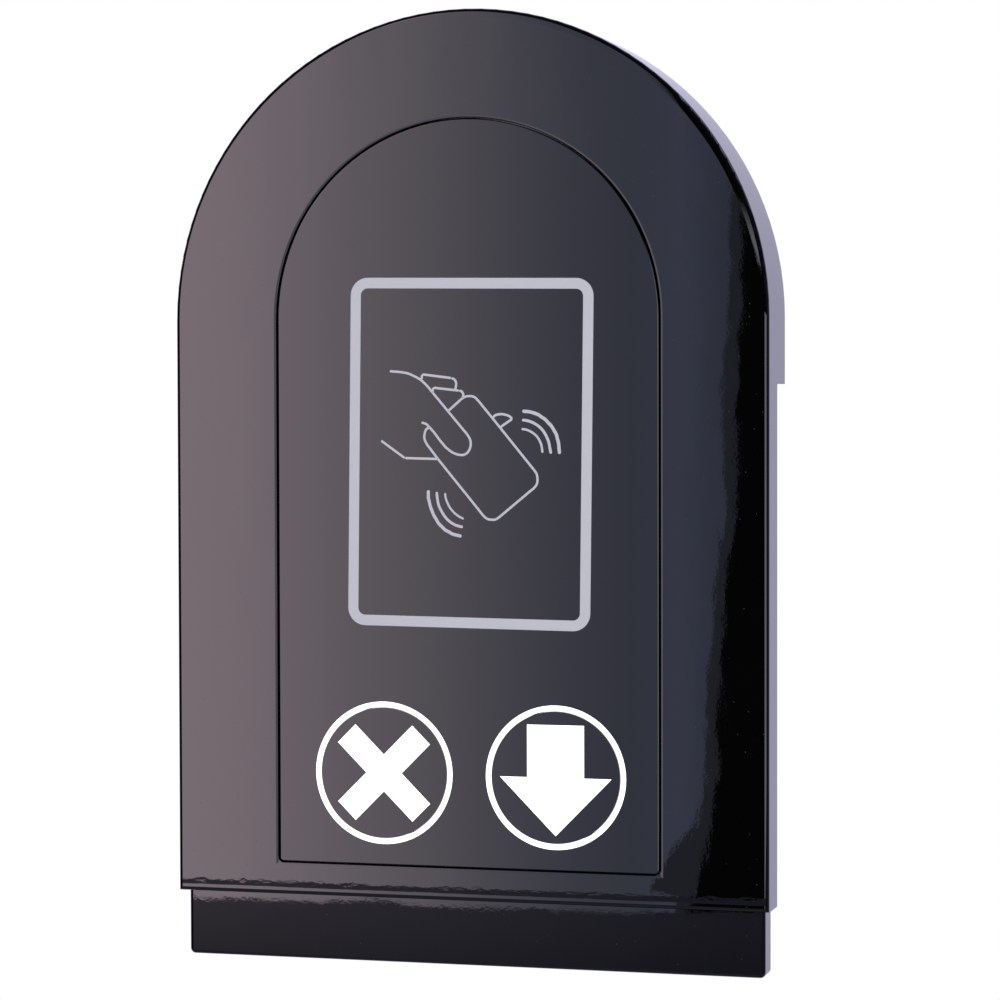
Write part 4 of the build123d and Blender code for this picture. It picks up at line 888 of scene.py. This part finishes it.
# The card's glow: two ramps across it, one for the card and one for the ground, joined along slanted edges.
def cardGlow(look):
    glow = Recipe("cardGlow")
    soft, brightest = look["soft"], look["brightest"]
    first, last = look["tones"][0][0], look["tones"][-1][0]

    def scaled(tone):
        return tuple(v / brightest for v in tone)

    def ramp(tones):
        stops = [((x - first) / (last - first), scaled(tone)) for x, tone in tones]
        return glow.node("ShaderNodeValToRGB", {"stops": stops}, {"Fac": (glow.x - first) / (last - first)})

    def below(value, limit):
        return limit - glow.sum("MINIMUM", value, limit)

    drop = below(glow.z, look["edgeBelow"]) * look["edgeSlope"]
    knee = below(glow.z, look["kneeBelow"]) * look["kneeSlope"]
    past = glow.x - look["edgeAt"] + drop + knee
    foot = below(glow.z, look["dimBelow"]) * glow.step(glow.z, look["dimTo"] - soft, look["dimTo"] + soft)
    dim = glow.step(past + look["dimWidth"] + foot * look["dimGrows"], -soft, soft)
    side = glow.step(glow.x, look["sideFrom"], look["sideFrom"] + look["sideSoft"])
    side = side * glow.step(glow.z, look["sideTop"], look["sideTop"] + look["sideFade"], 1, 0)
    unlit = glow.blend(side, scaled(look["dark"]), scaled(look["side"]))
    shade = glow.blend(dim, ramp(look["tones"]), scaled(look["dim"]))
    shade = glow.blend(glow.step(past, -soft, soft), shade, unlit)
    level = look["ground"] + (glow.x - look["groundAt"]) * look["groundSlope"]
    level = level + below(glow.x, look["curlFrom"]) * look["groundCurl"]
    fade = glow.step(glow.z - level, -look["groundFade"], 0, look["groundFar"], 1)
    ground = glow.blend(fade, (0, 0, 0), ramp(look["groundTones"]))
    shade = glow.blend(glow.step(glow.z - level, -soft, soft, 1, 0), shade, ground)
    return glow.end(glow.node("ShaderNodeEmission", None, {"Color": shade, "Strength": brightest}))


cardX, cardZ = np.meshgrid(
    np.linspace(cardLook["left"], cardLook["right"], 9), np.linspace(cardLook["bottom"], cardLook["top"], 9))
addCard("front_card", np.stack([cardX, np.full_like(cardX, cardLook["y"]), cardZ], -1), cardGlow(cardLook))

# The dark studio round the front of the machine, and the pale studio behind it: two parts of one dome. The low
# tones take over between two heights.
domeLook = {
    "radius": 5.0, "opening": radians(112), "pole": 0.001, "rows": 33, "columns": 65,
    "lowFrom": -3.0, "lowTo": -0.9, "patchSize": 2.0, "patchBy": 0.1, "least": 0.95,
    "dark": (0.05, 0.05, 0.075), "darkLow": (0.26, 0.27, 0.38),
    "pale": (0.80, 0.78, 1.03), "paleLow": (0.72, 0.71, 0.86)}


# Part of the dome, between two angles from straight ahead of the machine.
def addDome(name, fromAngle, toAngle, tone, lowTone):
    recipe = Recipe(name)
    low = recipe.step(recipe.z, domeLook["lowFrom"], domeLook["lowTo"], 1, 0)
    strength = recipe.noise(domeLook["patchSize"], 1) * domeLook["patchBy"] + domeLook["least"]
    recipe.end(recipe.node("ShaderNodeEmission", None, {
        "Color": recipe.blend(low, tone, lowTone), "Strength": strength}))
    tilt, turn = np.meshgrid(np.linspace(fromAngle, toAngle, domeLook["rows"]),
                             np.linspace(0, 2 * pi, domeLook["columns"]), indexing="ij")
    grid = np.stack([np.sin(tilt) * np.cos(turn), -np.cos(tilt), np.sin(tilt) * np.sin(turn)], -1)
    return addCard(name, domeLook["radius"] * grid, recipe.material)


addDome("studio_dark", domeLook["pole"], domeLook["opening"], domeLook["dark"], domeLook["darkLow"])
addDome("studio_pale", domeLook["opening"], pi - domeLook["pole"], domeLook["pale"], domeLook["paleLow"])

stripLook = {
    "from": radians(62), "to": radians(72), "low": -2.5, "high": 2.5, "radius": 4.2, "tone": (0.9, 0.92, 1.0),
    "strength": 0.4, "patchSize": 0.4, "patchBy": 0.2, "least": 0.9}


# An upright strip of light: part of a cylinder, between two turns to the right of straight ahead and two
# heights.
def addStrip(name, look):
    recipe = Recipe(name)
    strength = (recipe.noise(look["patchSize"], 1) * look["patchBy"] + look["least"]) * look["strength"]
    recipe.end(recipe.node("ShaderNodeEmission", None, {"Color": (*look["tone"], 1), "Strength": strength}))
    turns, heights = np.meshgrid(
        np.linspace(look["from"], look["to"], 9), np.linspace(look["low"], look["high"], 5))
    grid = np.stack([look["radius"] * np.sin(turns), -look["radius"] * np.cos(turns), heights], -1)
    return addCard(name, grid, recipe.material)


addStrip("right_strip", stripLook)
print("camera and light set")
